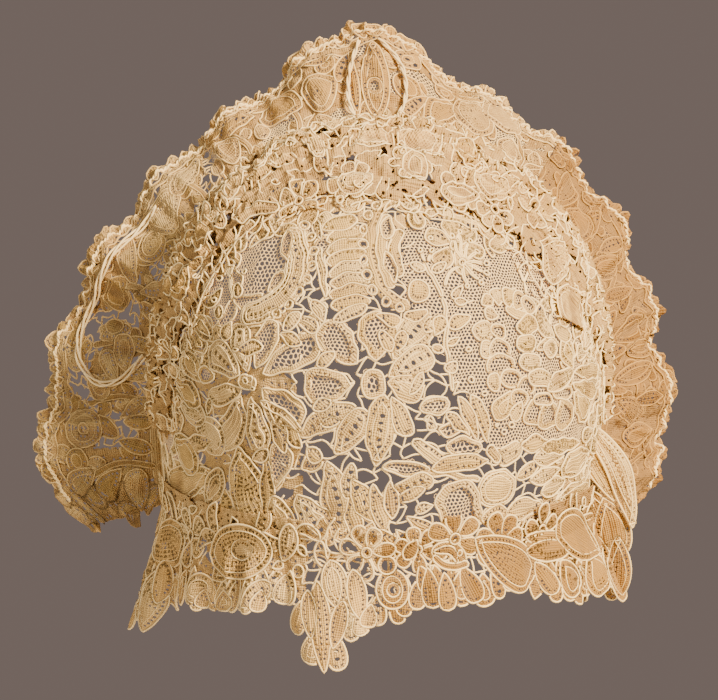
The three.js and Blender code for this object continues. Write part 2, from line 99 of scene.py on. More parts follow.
# The laid cords: share of the way, turn in degrees, share of the halo's width, height over it.
GATHER_ROUTE = [
    (0, -55, 0.6, 2.4), (0.15, -64, 0.68, 2.4), (0.32, -74, 0.73, 2.6), (0.48, -84, 0.73, 3.0),
    (0.58, -90, 0.62, 3.4), (0.7, -93, 0.45, 3.6), (0.85, -91, 0.26, 3.4), (1, -86, 0.12, 3.0),
]
LOOP_ROUTE = [
    (0, -1.5, 0.82, 1.65), (0.2, -5, 0.5, 2.8), (0.34, -6, 0.27, 3.2), (0.43, -4.5, 0.13, 3.8),
    (0.5, -0.5, 0.07, 4.2), (0.57, 3.5, 0.12, 3.8), (0.68, 6, 0.3, 3.2), (0.84, 5.5, 0.6, 2.8),
    (1, 2, 0.82, 1.65),
]


def smooth_table(rows, column, at):
    """One column of a table at the places given: each span eases from row to row along a cubic
    that takes up the slope between the neighbours of each row."""
    rows = np.asarray(rows, float)
    x, y = rows[:, 0], rows[:, column]
    last = len(x) - 1
    row = np.arange(last + 1)
    before, after = np.maximum(row - 1, 0), np.minimum(row + 1, last)
    slope = (y[after] - y[before]) / (x[after] - x[before])
    i = np.clip(np.searchsorted(x, at) - 1, 0, last - 1)
    step = x[i + 1] - x[i]
    t = np.clip((at - x[i]) / step, 0, 1)
    s = t * t * (3 - 2 * t)
    bend = step * t * (1 - t) * ((1 - t) * slope[i] - t * slope[i + 1])
    return y[i] * (1 - s) + y[i + 1] * s + bend


def unit(vectors):
    """The same directions, each one long."""
    return vectors / np.maximum(np.linalg.norm(vectors, axis=-1, keepdims=True), 1e-9)


def crown_place(turn, tilt, lift):
    """A point of the crown: from its centre go out at an angle of tilt from straight back, turned
    round by turn, as far as an ellipsoid that is lift larger all round."""
    way = np.stack([np.sin(tilt) * np.sin(turn), -np.cos(tilt), np.sin(tilt) * np.cos(turn)], -1)
    tall = np.where(way[..., 2] > 0, RISE, LOWER) + lift
    reach = 1 / np.sqrt(
        (way[..., 0] / (HALF_WIDTH + lift)) ** 2
        + (way[..., 1] / (HALF_DEPTH + lift)) ** 2
        + (way[..., 2] / tall) ** 2
    )
    return way * reach[..., None] + CENTRE


REACH_TURNS = np.radians(np.linspace(-180, 180, 721))


def reach_of_crown():
    """How far the crown reaches from the middle of the back at each turn, found by halving."""
    near, far = np.full(721, 0.1), np.full(721, 0.9 * np.pi)
    for _ in range(40):
        tilt = (near + far) / 2
        p = crown_place(REACH_TURNS, tilt, 0.0) - CENTRE
        edge = EDGE_HEM + (p[:, 2] + HEM_DROP) / (RISE + HEM_DROP) * (EDGE_TOP - EDGE_HEM)
        within = (p[:, 1] < edge) & (p[:, 2] > -HEM_DROP)
        near, far = np.where(within, tilt, near), np.where(within, far, tilt)
    return near


REACH = reach_of_crown()


def edge_reach(turn):
    """The crown's reach at a turn in radians."""
    return np.interp(turn, REACH_TURNS, REACH)


def halo_base(turn_degrees, share):
    """The halo frill's middle surface: from the seam go along a way that aims outwards and leans
    to the face, with flutes that grow as share to the power 1.4 and a bow that goes as share times
    (1 - share)."""
    turn = np.radians(turn_degrees)
    u = (turn_degrees / END_TURN + 1) / 2
    aim, width, lean, flute = (smooth_table(HALO, k, turn_degrees) for k in (1, 2, 3, 4))
    aim, lean = np.radians(aim), np.radians(lean)
    width = width * HALO_WIDTH + (np.abs(np.sin(u * SCALLOPS * np.pi)) - 1) * SCALLOP_DEPTH
    outward = np.stack([np.sin(aim), 0 * aim, np.cos(aim)], -1)
    forward = np.array([0.0, 1.0, 0.0])
    way = outward * np.cos(lean)[..., None] + forward * np.sin(lean)[..., None]
    across = outward * np.sin(lean)[..., None] - forward * np.cos(lean)[..., None]
    seat = crown_place(turn, edge_reach(turn) - HALO_INSET * PER_MM, WALL + SEAM + FOOT_RISE)
    wave = flute * FLUTE_DEPTH * np.sin(FLUTES * np.pi * (u - 0.5)) * np.maximum(share, 0) ** 1.4
    bow = 0.24 * width * share * (1 - share)
    return seat + way * (width * share)[..., None] + across * (wave + bow)[..., None]


def halo_place(turn_degrees, share, off):
    """A point that stands off the halo's middle surface, towards the back of the cap."""
    turn_degrees, share, off = np.broadcast_arrays(turn_degrees, share, off)
    small = 0.05
    along = halo_base(turn_degrees + small, share) - halo_base(turn_degrees - small, share)
    outward = halo_base(turn_degrees, share + 1e-3) - halo_base(turn_degrees, share - 1e-3)
    normal = unit(np.cross(along, outward))
    normal = np.where(normal[..., 1:2] > 0, -normal, normal)
    return halo_base(turn_degrees, share) + normal * off[..., None]


def hang_at(turn_degrees):
    """How far the flounce hangs below its seam."""
    return smooth_table(FLOUNCE, 1, turn_degrees) * FLOUNCE_HANG


def flounce_place(at, drop, off):
    """A point of the flounce, drop millimetres below its seam at the turn at round the head: on
    the crown's outside down to the hem, and from there hanging and spreading outwards."""
    hang = hang_at(at)
    out = smooth_table(FLOUNCE, 2, at) * FLOUNCE_HANG
    height = -HEM_DROP + FLOUNCE_SEAM - drop
    lift = WALL + SEAM + FRILL_WALL / 2
    level = np.sqrt(1 - (np.maximum(height, -HEM_DROP) / (LOWER + lift)) ** 2)
    free = np.maximum(drop / hang - FLOUNCE_SEAM / hang, 0) / (1 - FLOUNCE_SEAM / hang)
    spread = (FLOUNCE_SPREAD + out) * free + off
    turn = np.radians(at)
    x = np.sin(turn) * ((HALF_WIDTH + lift) * level + spread)
    y = -np.cos(turn) * ((HALF_DEPTH + lift) * level + spread)
    return np.stack([x, y, height + 0 * x], -1) + CENTRE


# Smooth unevenness.


def waves(x, y, length, seed, count=7):
    """Smooth unevenness from -1 to 1: the sum of count sine waves of about the same length, each
    in a direction and with a start of its own."""
    draw = np.random.default_rng(seed)
    angle = draw.uniform(0, 2 * np.pi, count)
    start = draw.uniform(0, 2 * np.pi, count)
    size = 2 * np.pi / (length * draw.uniform(0.7, 1.4, count))
    total = 0.0
    for k in range(count):
        total = total + np.sin((x * np.cos(angle[k]) + y * np.sin(angle[k])) * size[k] + start[k])
    return total / count * 1.6


def creases(x, y, length, seed, count=5):
    """Sharp-backed folds from 0 to 1: one less the size of a sine whose run is bent by waves."""
    bent = x + waves(x, y, length * 3.1, seed) * length * 0.55
    cross = y + waves(x, y, length * 2.7, seed + 1) * length * 0.5
    a = 1 - np.abs(np.sin(bent * np.pi / length))
    b = 1 - np.abs(np.sin((bent * 0.55 + cross * 0.8) * np.pi / (length * 1.3)))
    return np.maximum(a, b * 0.8)


# Meshes from whole arrays.


def put_mesh(name, points, faces, uv=None, marks=None):
    """An object at the origin from points in millimetres and a list of face arrays, each with the
    same number of corners a row. marks are named values, one a point."""
    mesh = bpy.data.meshes.new(name)
    mesh.vertices.add(len(points))
    mesh.vertices.foreach_set("co", (np.asarray(points) * 0.001).astype(np.float32).ravel())
    faces = [f for f in faces if len(f)]
    sizes = np.concatenate([np.full(len(f), f.shape[1]) for f in faces])
    corners = np.concatenate([f.ravel() for f in faces]).astype(np.int32)
    mesh.loops.add(len(corners))
    mesh.loops.foreach_set("vertex_index", corners)
    mesh.polygons.add(len(sizes))
    mesh.polygons.foreach_set("loop_start", np.concatenate([[0], np.cumsum(sizes)[:-1]]))
    mesh.polygons.foreach_set("use_smooth", np.ones(len(sizes), bool))
    if uv is not None:
        layer = mesh.uv_layers.new(name="cloth")
        layer.data.foreach_set("uv", np.asarray(uv, np.float32)[corners].ravel())
    for key, values in (marks or {}).items():
        mark = mesh.attributes.new(key, "FLOAT", "POINT")
        mark.data.foreach_set("value", np.asarray(values, np.float32))
    mesh.update(calc_edges=True)
    obj = bpy.data.objects.new(name, mesh)
    bpy.context.collection.objects.link(obj)
    return obj


def tube(points, outs, nexts, radius, sides=4):
    """Round cords: about each point a ring of the given radius, squarely across the way to the
    point that nexts names, joined ring to ring, with a flat cap on each end. A point whose next is
    -1 ends its cord."""
    count = len(points)
    nexts = np.asarray(nexts)
    before = np.full(count, -1)
    has = nexts >= 0
    before[nexts[has]] = np.nonzero(has)[0]
    ahead = np.where(has, nexts, np.arange(count))
    behind = np.where(before >= 0, before, np.arange(count))
    tangent = unit(points[ahead] - points[behind])
    side = unit(np.cross(tangent, outs))
    up = np.cross(side, tangent)
    angle = np.arange(sides) / sides * 2 * np.pi
    radius = np.broadcast_to(radius, (count,))[:, None, None]
    angle = angle[None, :, None]
    ring = side[:, None] * np.cos(angle) + up[:, None] * np.sin(angle)
    rings = points[:, None] + ring * radius
    start = np.arange(count) * sides
    here, there = start[has][:, None], start[nexts[has]][:, None]
    corner = np.arange(sides)
    following = (corner + 1) % sides
    a, b, c, d = here + corner, here + following, there + following, there + corner
    walls = np.stack([a, d, c, b], -1).reshape(-1, 4)[:, ::-1]
    low = start[(before < 0) & has][:, None] + corner[::-1]
    high = start[(before >= 0) & ~has][:, None] + corner
    return rings.reshape(-1, 3), [walls, low, high]


def join_shapes(shapes):
    """Several lots of points and faces as one."""
    points, faces, base = [], {}, 0
    for lot, rows in shapes:
        for row in rows:
            if len(row):
                faces.setdefault(row.shape[1], []).append(row + base)
        points.append(lot)
        base += len(lot)
    return np.concatenate(points), [np.concatenate(f) for f in faces.values()]


# Lines and outlines.


def walk_along(line):
    """How far along a line each of its points lies."""
    return np.concatenate([[0], np.cumsum(np.linalg.norm(np.diff(line, axis=0), axis=1))])


def length_of(line):
    """The length of a line."""
    return np.linalg.norm(np.diff(line, axis=0), axis=1).sum()


def left_of(way):
    """Ways on a chart, turned a quarter to the left."""
    return np.stack([-way[..., 1], way[..., 0]], -1)


def pairs(x, y):
    """Two arrays of the same shape as one list of places."""
    return np.stack([x.ravel(), y.ravel()], -1)


def chains(count, length):
    """The next point of each of count points that form chains of one length."""
    number = np.arange(count)
    return np.where(number % length < length - 1, number + 1, -1)


def catmull_rom(points, count):
    """A smooth line through points: in each span a cubic whose slope at a point is half the way
    between that point's neighbours."""
    p = np.vstack([2 * points[0] - points[1], points, 2 * points[-1] - points[-2]])
    at = np.linspace(0, len(points) - 1, count)
    i = np.minimum(at.astype(int), len(points) - 2)
    t = (at - i)[:, None]
    return 0.5 * (
        2 * p[i + 1]
        + (p[i + 2] - p[i]) * t
        + (2 * p[i] - 5 * p[i + 1] + 4 * p[i + 2] - p[i + 3]) * t**2
        + (3 * p[i + 1] - p[i] - 3 * p[i + 2] + p[i + 3]) * t**3
    )


def evenly(line, count, endpoint=True):
    """A line of a chart again, as count points that lie evenly along it."""
    walk = walk_along(line)
    even = np.linspace(0, walk[-1], count, endpoint=endpoint)
    return np.stack([np.interp(even, walk, line[:, k]) for k in range(2)], -1)


def nearest(points, line, closed):
    """For each point, its distance from a broken line, how far along the line the nearest place
    lies, and whether the point is to the left (+) or right (-) of it."""
    a = line if closed else line[:-1]
    b = np.roll(line, -1, 0) if closed else line[1:]
    seg = b - a
    size = np.maximum(np.linalg.norm(seg, axis=1), 1e-9)
    begin = np.concatenate([[0], np.cumsum(size)[:-1]])
    rel = points[:, None] - a[None]
    share = np.clip((rel * seg).sum(-1) / size**2, 0, 1)
    gap = rel - share[..., None] * seg
    far = (gap**2).sum(-1)
    k = far.argmin(1)
    row = np.arange(len(points))
    side = np.sign(seg[k, 0] * rel[row, k, 1] - seg[k, 1] * rel[row, k, 0])
    return np.sqrt(far[row, k]), begin[k] + share[row, k] * size[k], np.where(side == 0, 1, side)


def within(points, outline):
    """Whether each point is inside a closed outline, by counting crossings to its left."""
    a, b = outline, np.roll(outline, -1, 0)
    x, y = points[:, :1], points[:, 1:]
    straddles = (a[:, 1] <= y) != (b[:, 1] <= y)
    rise = np.where(np.abs(b[:, 1] - a[:, 1]) < 1e-9, 1e-9, b[:, 1] - a[:, 1])
    cross = a[:, 0] + (y - a[:, 1]) / rise * (b[:, 0] - a[:, 0])
    return ((straddles & (x < cross)).sum(1) % 2) == 1


def flowing(points, count=30):
    """A smooth line through a few points of a chart, evenly stepped."""
    p = np.asarray(points, float)
    if len(p) == 2:
        return p[0] + (p[1] - p[0]) * np.linspace(0, 1, count)[:, None]
    return evenly(catmull_rom(p, 200), count)


# The two powers of each shape's half width.
SHAPES = {"petal": (0.8, 0.42), "leaf": (0.62, 0.85), "oval": (0.5, 0.5)}


def outline_of(axis, width, shape):
    """The outline round a centre line: half widths along it grow and shrink as
    share^a (1 - share)^b, scaled to the given width; a tape keeps its width up to round ends."""
    share = np.linspace(0, 1, len(axis))
    if shape == "tape":
        near_end = np.minimum(share, 1 - share) * length_of(axis) / (width / 2)
        half = np.sqrt(np.clip(1 - (1 - np.minimum(near_end, 1)) ** 2, 0, 1))
    else:
        a, b = SHAPES[shape]
        half = share**a * (1 - share) ** b
        half = half / half.max()
    half = half * width / 2
    side = left_of(unit(np.gradient(axis, axis=0))) * half[:, None]
    return np.vstack([axis - side, (axis + side)[-2:0:-1]])


def inset(line, by):
    """A closed anticlockwise outline moved inwards."""
    return line + left_of(unit(np.roll(line, -1, 0) - np.roll(line, 1, 0))) * by


def even_closed(line, step):
    """A closed outline again, with points about step apart."""
    ring = np.vstack([line, line[:1]])
    return evenly(ring, max(int(walk_along(ring)[-1] / step), 6), endpoint=False)


# Drawing lace flat.


class Panel:
    """A panel of lace drawn flat: a fine grid of places, each with how far inside the cloth it is
    (cover), how high it lies, and where it is along and across the leaf or petal that owns it."""

    def __init__(self, place, x_range, y_range, pitch, seed):
        self.place, self.pitch = place, pitch
        self.xs = np.arange(x_range[0], x_range[1] + pitch / 2, pitch)
        self.ys = np.arange(y_range[0], y_range[1] + pitch / 2, pitch)
        shape = (len(self.xs), len(self.ys))
        self.cover = np.full(shape, -CLEAR)
        self.rim = np.full(shape, -CLEAR)
        self.height = np.zeros(shape)
        self.along, self.inside, self.tone = (np.zeros(shape) for _ in range(3))
        self.owner = np.full(shape, -1, int)
        self.net = np.zeros(shape, int)
        self.cords, self.folds = [], None
        self.count = 0
        self.draw = np.random.default_rng(seed)

    def grid(self, box=(slice(None), slice(None))):
        """The places of the grid, or of a part of it."""
        return np.meshgrid(self.xs[box[0]], self.ys[box[1]], indexing="ij")

    def lay(self, chart, height):
        """Where places of the chart lie in space, at a height over the cloth's own."""
        return self.place(chart[:, 0], chart[:, 1], height)

    def window(self, lo, hi):
        """The part of the grid between two corners."""
        i0, i1 = np.searchsorted(self.xs, [lo[0], hi[0]])
        j0, j1 = np.searchsorted(self.ys, [lo[1], hi[1]])
        return slice(i0, i1), slice(j0, j1)

    def sample(self, grid, points):
        """A grid's values at the nearest places to the points."""
        corner = np.array([self.xs[0], self.ys[0]])
        nearest_place = np.rint((points - corner) / self.pitch).astype(int)
        i, j = np.clip(nearest_place, 0, np.array(grid.shape) - 1).T
        return grid[i, j]

    def ground(self, outline, kind):
        """Marks the inside of an outline as net ground: 1 fine, 2 coarse."""
        outline = np.asarray(outline, float)
        box = self.window(outline.min(0), outline.max(0))
        x, y = self.grid(box)
        self.net[box][within(pairs(x, y), outline).reshape(x.shape)] = kind

    def motif(self, path, width, shape="petal", pattern="ladder", lift=0.4, cord=0.4, count=26):
        """Draws one leaf, petal, round or tape of lace over what is there. The words of its pattern
        say which openings are cut from its cover; a dome, a lean drawn by lot and ribs raise it."""
        axis = flowing(path, count)
        line = even_closed(outline_of(axis, width, shape), 1.0)
        box = self.window(line.min(0) - 1.5, line.max(0) + 1.5)
        x, y = self.grid(box)
        if x.size == 0:
            return
        points = pairs(x, y)
        d, s, _ = nearest(points, line, True)
        inner = within(points, line)
        d = np.where(inner, d, -d)
        c, t, side = nearest(points, axis, False)
        c = c * side
        walk, axis_walk = length_of(np.vstack([line, line[:1]])), length_of(axis)
        half = width / 2

        def row_of_holes(depth, pitch, long, tall, keep):
            """Small oval holes at one depth all round, pitch apart, of which a share is kept."""
            number = max(round(walk / pitch), 3)
            step = walk / number
            k = np.floor(s / step)
            off = s - (k + 0.5) * step
            hole = (np.hypot(off / long, (d - depth) / tall) - 1) * min(long, tall)
            return np.where(np.sin(k * 12.9 + number) * 0.5 + 0.5 <= keep, hole, CLEAR)

        def row_down_axis(start, end, pitch, long, tall):
            """Holes along the centre line between two shares of it."""
            off = t - (np.floor(t / pitch) + 0.5) * pitch
            hole = (np.hypot(off / long, c / tall) - 1) * min(long, tall)
            share = t / axis_walk
            return np.where((share > start) & (share < end), hole, CLEAR)

        cover = d
        if "rim" in pattern:
            cover = np.minimum(cover, row_of_holes(
                min(1.5, half * 0.42), pitch=1.75, long=0.5, tall=0.46, keep=0.9
            ))
        if "ladder" in pattern:
            cover = np.minimum(cover, row_down_axis(
                start=0.2, end=0.84, pitch=2.7, long=0.72, tall=min(0.95, half * 0.28)
            ))
        if "vein" in pattern:
            cover = np.minimum(cover, row_down_axis(
                start=0.15, end=0.78, pitch=2.1, long=0.74, tall=0.4
            ))
        if "rows" in pattern:
            for depth in np.arange(2.9, half, 1.6):
                cover = np.minimum(cover, row_of_holes(
                    depth, pitch=2.1, long=0.48, tall=0.45, keep=0.75
                ))
        for word, inmost in (("heart", min(2.6, half * 0.36)), ("ring", half * 0.45)):
            if word in pattern:
                cover = np.minimum(cover, np.where(d > inmost, inmost - d, CLEAR))
        dome = 0.8 * (1 - np.exp(-np.maximum(d, 0) / 1.6))
        lean = self.draw.uniform(-0.25, 0.25) * c / max(half, 1)
        lean = lean + self.draw.uniform(-0.1, 0.3) * t / axis_walk
        if "round" in pattern:
            ribs = 0.14 * np.cos(d * 2 * np.pi / 1.8) * np.clip(d / 1.2, 0, 1)
        else:
            ribs = 0.15 * np.cos(c * 2 * np.pi / 1.75) * np.clip(d / 1.5, 0, 1)
        high = lift + dome + lean + ribs

        inner, d, cover, high, along, across = (
            values.reshape(x.shape) for values in (inner, d, cover, high, t, c)
        )
        for grid, value in ((self.cover, cover), (self.rim, d)):
            grid[box] = np.where(inner, value, np.maximum(grid[box], d))
        ground = 2 if "coarse" in pattern else 1 if "heart" in pattern else 0
        for grid, value in (
            (self.height, high), (self.along, along), (self.inside, across),
            (self.tone, self.draw.uniform(0, 1)), (self.owner, self.count), (self.net, ground),
        ):
            grid[box][inner] = value[inner] if isinstance(value, np.ndarray) else value
        plain = half > 4.2 and "heart" not in pattern and "ring" not in pattern
        for wanted, depth, rise, share in (
            (cord, 0.15, 0.25, 1), (cord and "double" in pattern, 1.0, 0.5, 0.8),
            (cord and plain, 2.5, 0.72, 0.62),
        ):
            if wanted:
                raised = lift + rise + lean.mean()
                self.cords.append((inset(line, depth), self.count, raised, cord * share))
        self.count += 1

    def petals(self, x, y, size, number, width, turn, pattern):
        """A flower: petals set evenly round a centre, with a small round over it."""
        for k in range(number):
            way = math.radians(turn + 360 * k / number)
            way = np.array([math.sin(way), math.cos(way)])
            long = size * self.draw.uniform(0.9, 1.08)
            base = np.array([x, y]) + way * size * 0.16
            bend = -left_of(way) * self.draw.uniform(-0.08, 0.08) * size
            path = [base, base + way * long * 0.5 + bend, base + way * long * 0.84]
            self.motif(path, width, "petal", pattern)
        self.disc(x, y, size * 0.42, "round ring", 0.7)

    def disc(self, x, y, size, pattern, lift):
        """A small round of lace."""
        ends = [(x - size / 2, y), (x + size / 2, y)]
        self.motif(ends, size, "oval", pattern, lift, 0.35, 20)

    def spray(self, path, leaf, number, width, lift, pattern, stem=2.4):
        """A stem with leaves set in pairs along it and one at its tip."""
        line = flowing(path, 40)
        tangent = unit(np.gradient(line, axis=0))
        for k in range(number):
            i = int((k + 0.8) / (number + 0.6) * 39)
            for side in (-1, 1):
                normal = left_of(tangent[i]) * side
                tip = line[i] + tangent[i] * leaf * 0.72 + normal * leaf * 0.62
                mid = line[i] + tangent[i] * leaf * 0.28 + normal * leaf * 0.4
                self.motif([line[i], mid, tip], width, "leaf", pattern, lift)
        self.motif(line, stem, "tape", "", lift + 0.2, 0.3)
        self.motif([line[-1], line[-1] + tangent[-1] * leaf], width, "leaf", pattern, lift)


# How a square of the grid is cut, by which of its corners are in the cloth: 1, 2, 4 and 8 name the
# corners, whose points are 0 to 3; 4 to 7 are the points on its four sides.
CUT_CASES = {
    1: [[0, 4, 7]], 2: [[1, 5, 4]], 4: [[2, 6, 5]], 8: [[3, 7, 6]],
    3: [[0, 1, 5, 7]], 6: [[1, 2, 6, 4]], 12: [[2, 3, 7, 5]], 9: [[3, 0, 4, 6]],
    5: [[0, 4, 7], [2, 6, 5]], 10: [[1, 5, 4], [3, 7, 6]],
    7: [[0, 1, 2], [0, 2, 6, 7]], 14: [[1, 2, 3], [1, 3, 7, 4]],
    13: [[2, 3, 0], [2, 0, 4, 5]], 11: [[3, 0, 1], [3, 1, 5, 6]],
    15: [[0, 1, 2, 3]],
}


def cut_cloth(panel, keep=None):
    """The cloth of a panel as points and faces on its chart: the grid where the cover is above
    nothing, cut along the line where it is nothing, square by square."""
    f = panel.cover if keep is None else np.where(keep, panel.cover, -1.0)
    nx, ny = f.shape
    solid = f > 0
    node = np.cumsum(solid.ravel()).reshape(nx, ny) - 1
    total = int(solid.sum())
    gx, gy = np.meshgrid(np.arange(nx), np.arange(ny), indexing="ij")
    at = [np.stack([gx[solid], gy[solid]], -1).astype(float)]
    source = [np.stack([gx[solid], gy[solid]], -1)]

    def crossings(a_solid, b_solid, a, b, shift):
        """Points where the cover passes nothing between neighbours, and their numbers."""
        nonlocal total
        cut = a_solid != b_solid
        ids = np.full(cut.shape, -1)
        ids[cut] = total + np.arange(cut.sum())
        i, j = np.nonzero(cut)
        va, vb = a[cut], b[cut]
        t = np.clip(va / (va - vb), 0.1, 0.9)
        at.append(np.stack([i + t * shift[0], j + t * shift[1]], -1))
        first = va > 0
        nearer = np.where(first, 0, shift[0]), np.where(first, 0, shift[1])
        source.append(np.stack([i + nearer[0], j + nearer[1]], -1))
        total += int(cut.sum())
        return ids

    h = crossings(solid[:-1], solid[1:], f[:-1], f[1:], (1, 0))
    v = crossings(solid[:, :-1], solid[:, 1:], f[:, :-1], f[:, 1:], (0, 1))
    table = np.stack(
        [
            node[:-1, :-1], node[1:, :-1], node[1:, 1:], node[:-1, 1:],
            h[:, :-1], v[1:], h[:, 1:], v[:-1],
        ],
        -1,
    )
    case = (
        solid[:-1, :-1] * 1 + solid[1:, :-1] * 2 + solid[1:, 1:] * 4 + solid[:-1, 1:] * 8
    )
    triangles, quads = [], []
    for code, polygons in CUT_CASES.items():
        rows = table[case == code]
        for polygon in polygons:
            (triangles if len(polygon) == 3 else quads).append(rows[:, polygon])
    at, source = np.concatenate(at), np.concatenate(source)
    chart = np.array([panel.xs[0], panel.ys[0]]) + at * panel.pitch
    return chart, source, [np.concatenate(triangles), np.concatenate(quads)]


def lace_cloth(panel, name, keep=None):
    """The panel's cloth as an object laid on the cap. It is given the thickness of lace to both
    sides."""
    chart, source, faces = cut_cloth(panel, keep)
    i, j = source[:, 0], source[:, 1]
    uv = np.stack([panel.along[i, j], panel.inside[i, j]], -1) * 0.1
    depth = np.clip(panel.rim[i, j], 0, 5)
    marks = {"tone": panel.tone[i, j], "depth": depth, "laid": np.ones(len(chart))}
    # The fold mark drives painted shade in the hollows of the cloth's folds, in the old lace group.
    if panel.folds:
        marks["fold"] = np.clip(panel.folds(chart[:, 0], chart[:, 1]), 0, 1)
    piece = put_mesh(name, panel.lay(chart, panel.height[i, j]), faces, uv, marks)
    wall = piece.modifiers.new("lace thickness", "SOLIDIFY")
    wall.thickness, wall.offset = LACE_THICKNESS, 0.0
    return piece


def outs_of(panel, chart, height):
    """The way straight out of the cap at places of a panel's chart."""
    return unit(panel.lay(chart, height + 0.5) - panel.lay(chart, height))


def cord_shapes(panel, cells=None):
    """The outline cords of a panel: each outline that no later motif covers, as a thin tube."""
    charts, heights, links, radii, base = [], [], [], [], 0
    low, high = np.array([panel.xs[0], panel.ys[0]]), np.array([panel.xs[-1], panel.ys[-1]])
    for line, owner, lift, radius in panel.cords:
        line = even_closed(line, 1.05)
        shown = (panel.sample(panel.owner, line) <= owner) & ((line > low) & (line < high)).all(1)
        if cells is not None:
            shown &= panel.sample(cells, line)
        count = int(shown.sum())
        if count < 3:
            continue
        number = np.cumsum(shown) - 1
        link = np.where(np.roll(shown, -1), np.roll(number, -1) + base, -1)[shown]
        charts.append(line[shown])
        heights.append(np.full(count, lift))
        radii.append(np.full(count, radius))
        links.append(link)
        base += count
    chart, height, link, radius = map(np.concatenate, (charts, heights, links, radii))
    return tube(panel.lay(chart, height), outs_of(panel, chart, height), link, radius)


def net_shapes(panel, kind, pitch, strand, height, cells=None):
    """Net ground: a honeycomb in which each cell is a ring of six strands, its outer edge on the
    line between cells and its inner edge smaller and a little lower."""
    step_y = pitch * math.sqrt(3) / 2
    ys = np.arange(panel.ys[0], panel.ys[-1], step_y)
    xs = np.arange(panel.xs[0], panel.xs[-1], pitch)
    x, y = np.meshgrid(xs, ys, indexing="ij")
    x = x + (np.arange(len(ys)) % 2) * pitch / 2
    middle = pairs(x, y)
    shown = (panel.sample(panel.net, middle) == kind) & (panel.sample(panel.cover, middle) < 0.5)
    if cells is not None:
        shown &= panel.sample(cells, middle)
    middle = middle[shown]
    angle = np.radians(30 + 60 * np.arange(6))
    spoke = np.stack([np.cos(angle), np.sin(angle)], -1)
    radius = pitch / math.sqrt(3)
    outer = middle[:, None] + spoke * radius
    inner = middle[:, None] + spoke * (radius - strand * 0.62)
    chart = np.stack([outer, inner], 1).reshape(-1, 2)
    drift = pitch * 0.16
    x, y = chart[:, 0], chart[:, 1]
    chart = chart + drift * np.stack([waves(x, y, 9, 5), waves(x, y, 9, 6)], -1)
    low = np.tile(np.repeat([0.0, -strand * 0.3], 6), len(middle))
    points = panel.lay(chart, height + low)
    start = np.arange(len(middle))[:, None] * 12
    k = np.arange(6)
    quads = np.stack([start + k, start + (k + 1) % 6, start + 6 + (k + 1) % 6, start + 6 + k], -1)
    return points, [quads.reshape(-1, 4)]


def bar_shapes(panel, spacing, seed, radius=0.36, height=0.3, cells=None):
    """Bars that tie the motifs together over open places: the edges of a shaken honeycomb, kept
    where most of their length has neither cloth nor net under it."""
    draw = np.random.default_rng(seed)
    xs = np.arange(panel.xs[0], panel.xs[-1], spacing)
    ys = np.arange(panel.ys[0], panel.ys[-1], spacing * 0.9)
    x, y = np.meshgrid(xs, ys, indexing="ij")
    x = x + (np.arange(len(ys)) % 2) * spacing / 2 + draw.uniform(-0.3, 0.3, x.shape) * spacing
    y = y + draw.uniform(-0.3, 0.3, y.shape) * spacing
    knots = np.stack([x, y], -1)
    a = np.concatenate([knots[:-1].reshape(-1, 2), knots[:, :-1].reshape(-1, 2)])
    b = np.concatenate([knots[1:].reshape(-1, 2), knots[:, 1:].reshape(-1, 2)])
    left_out = draw.random(len(a)) < 0.3
    a, b = a[~left_out], b[~left_out]
    steps = np.linspace(0, 1, BAR_POINTS)[:, None]
    way = b - a
    side = left_of(way) * draw.uniform(-0.16, 0.16, len(a))[:, None]
    line = a[:, None] + way[:, None] * steps + side[:, None] * np.sin(steps * np.pi)
    flat = line.reshape(-1, 2)
    open_here = (panel.sample(panel.cover, flat) < 0) & (panel.sample(panel.net, flat) == 0)
    if cells is not None:
        open_here &= panel.sample(cells, flat)
    open_here = open_here.reshape(-1, BAR_POINTS)
    kept = open_here.sum(1) >= 2
    line = line[kept]
    flat = line.reshape(-1, 2)
    link = chains(len(flat), BAR_POINTS)
    sunk = panel.sample(panel.cover, flat) > 0.4
    lift = np.where(sunk, panel.sample(panel.height, flat) * 0.5, height)
    return tube(panel.lay(flat, lift), outs_of(panel, flat, lift), link, radius)


def fill_gaps(panel, spacing, share, size, lift=0.15, reach=2.4, allowed=None):
    """Small leaves and rounds in open places that are wide enough, at a share of the knots of a
    shaken lattice."""
    draw = panel.draw
    eighths = np.arange(8) * np.pi / 4
    compass = reach * np.stack([np.cos(eighths), np.sin(eighths)], -1)
    for x in np.arange(panel.xs[0], panel.xs[-1], spacing):
        for y in np.arange(panel.ys[0], panel.ys[-1], spacing):
            p = np.array([x, y]) + draw.uniform(-0.4, 0.4, 2) * spacing
            turn, chance, kind = draw.uniform(0, 2 * np.pi), draw.random(), draw.random()
            long = draw.uniform(0.8, 1.5)
            around = p + compass
            if chance > share or (allowed is not None and not allowed(*p)):
                continue
            if any((panel.sample(grid, around) > 0).any() for grid in (panel.cover, panel.net)):
                continue
            way = np.array([math.cos(turn), math.sin(turn)])
            if kind < 0.3:
                panel.disc(*p, size * 0.9, "rim ring" if kind < 0.15 else "round", lift)
            else:
                shape = "leaf" if kind < 0.65 else "petal"
                pattern = "rim vein" if kind < 0.8 else "rim ladder"
                ends = [p - way * size * long / 2, p + way * size * long / 2]
                panel.motif(ends, size * 0.62, shape, pattern, lift)


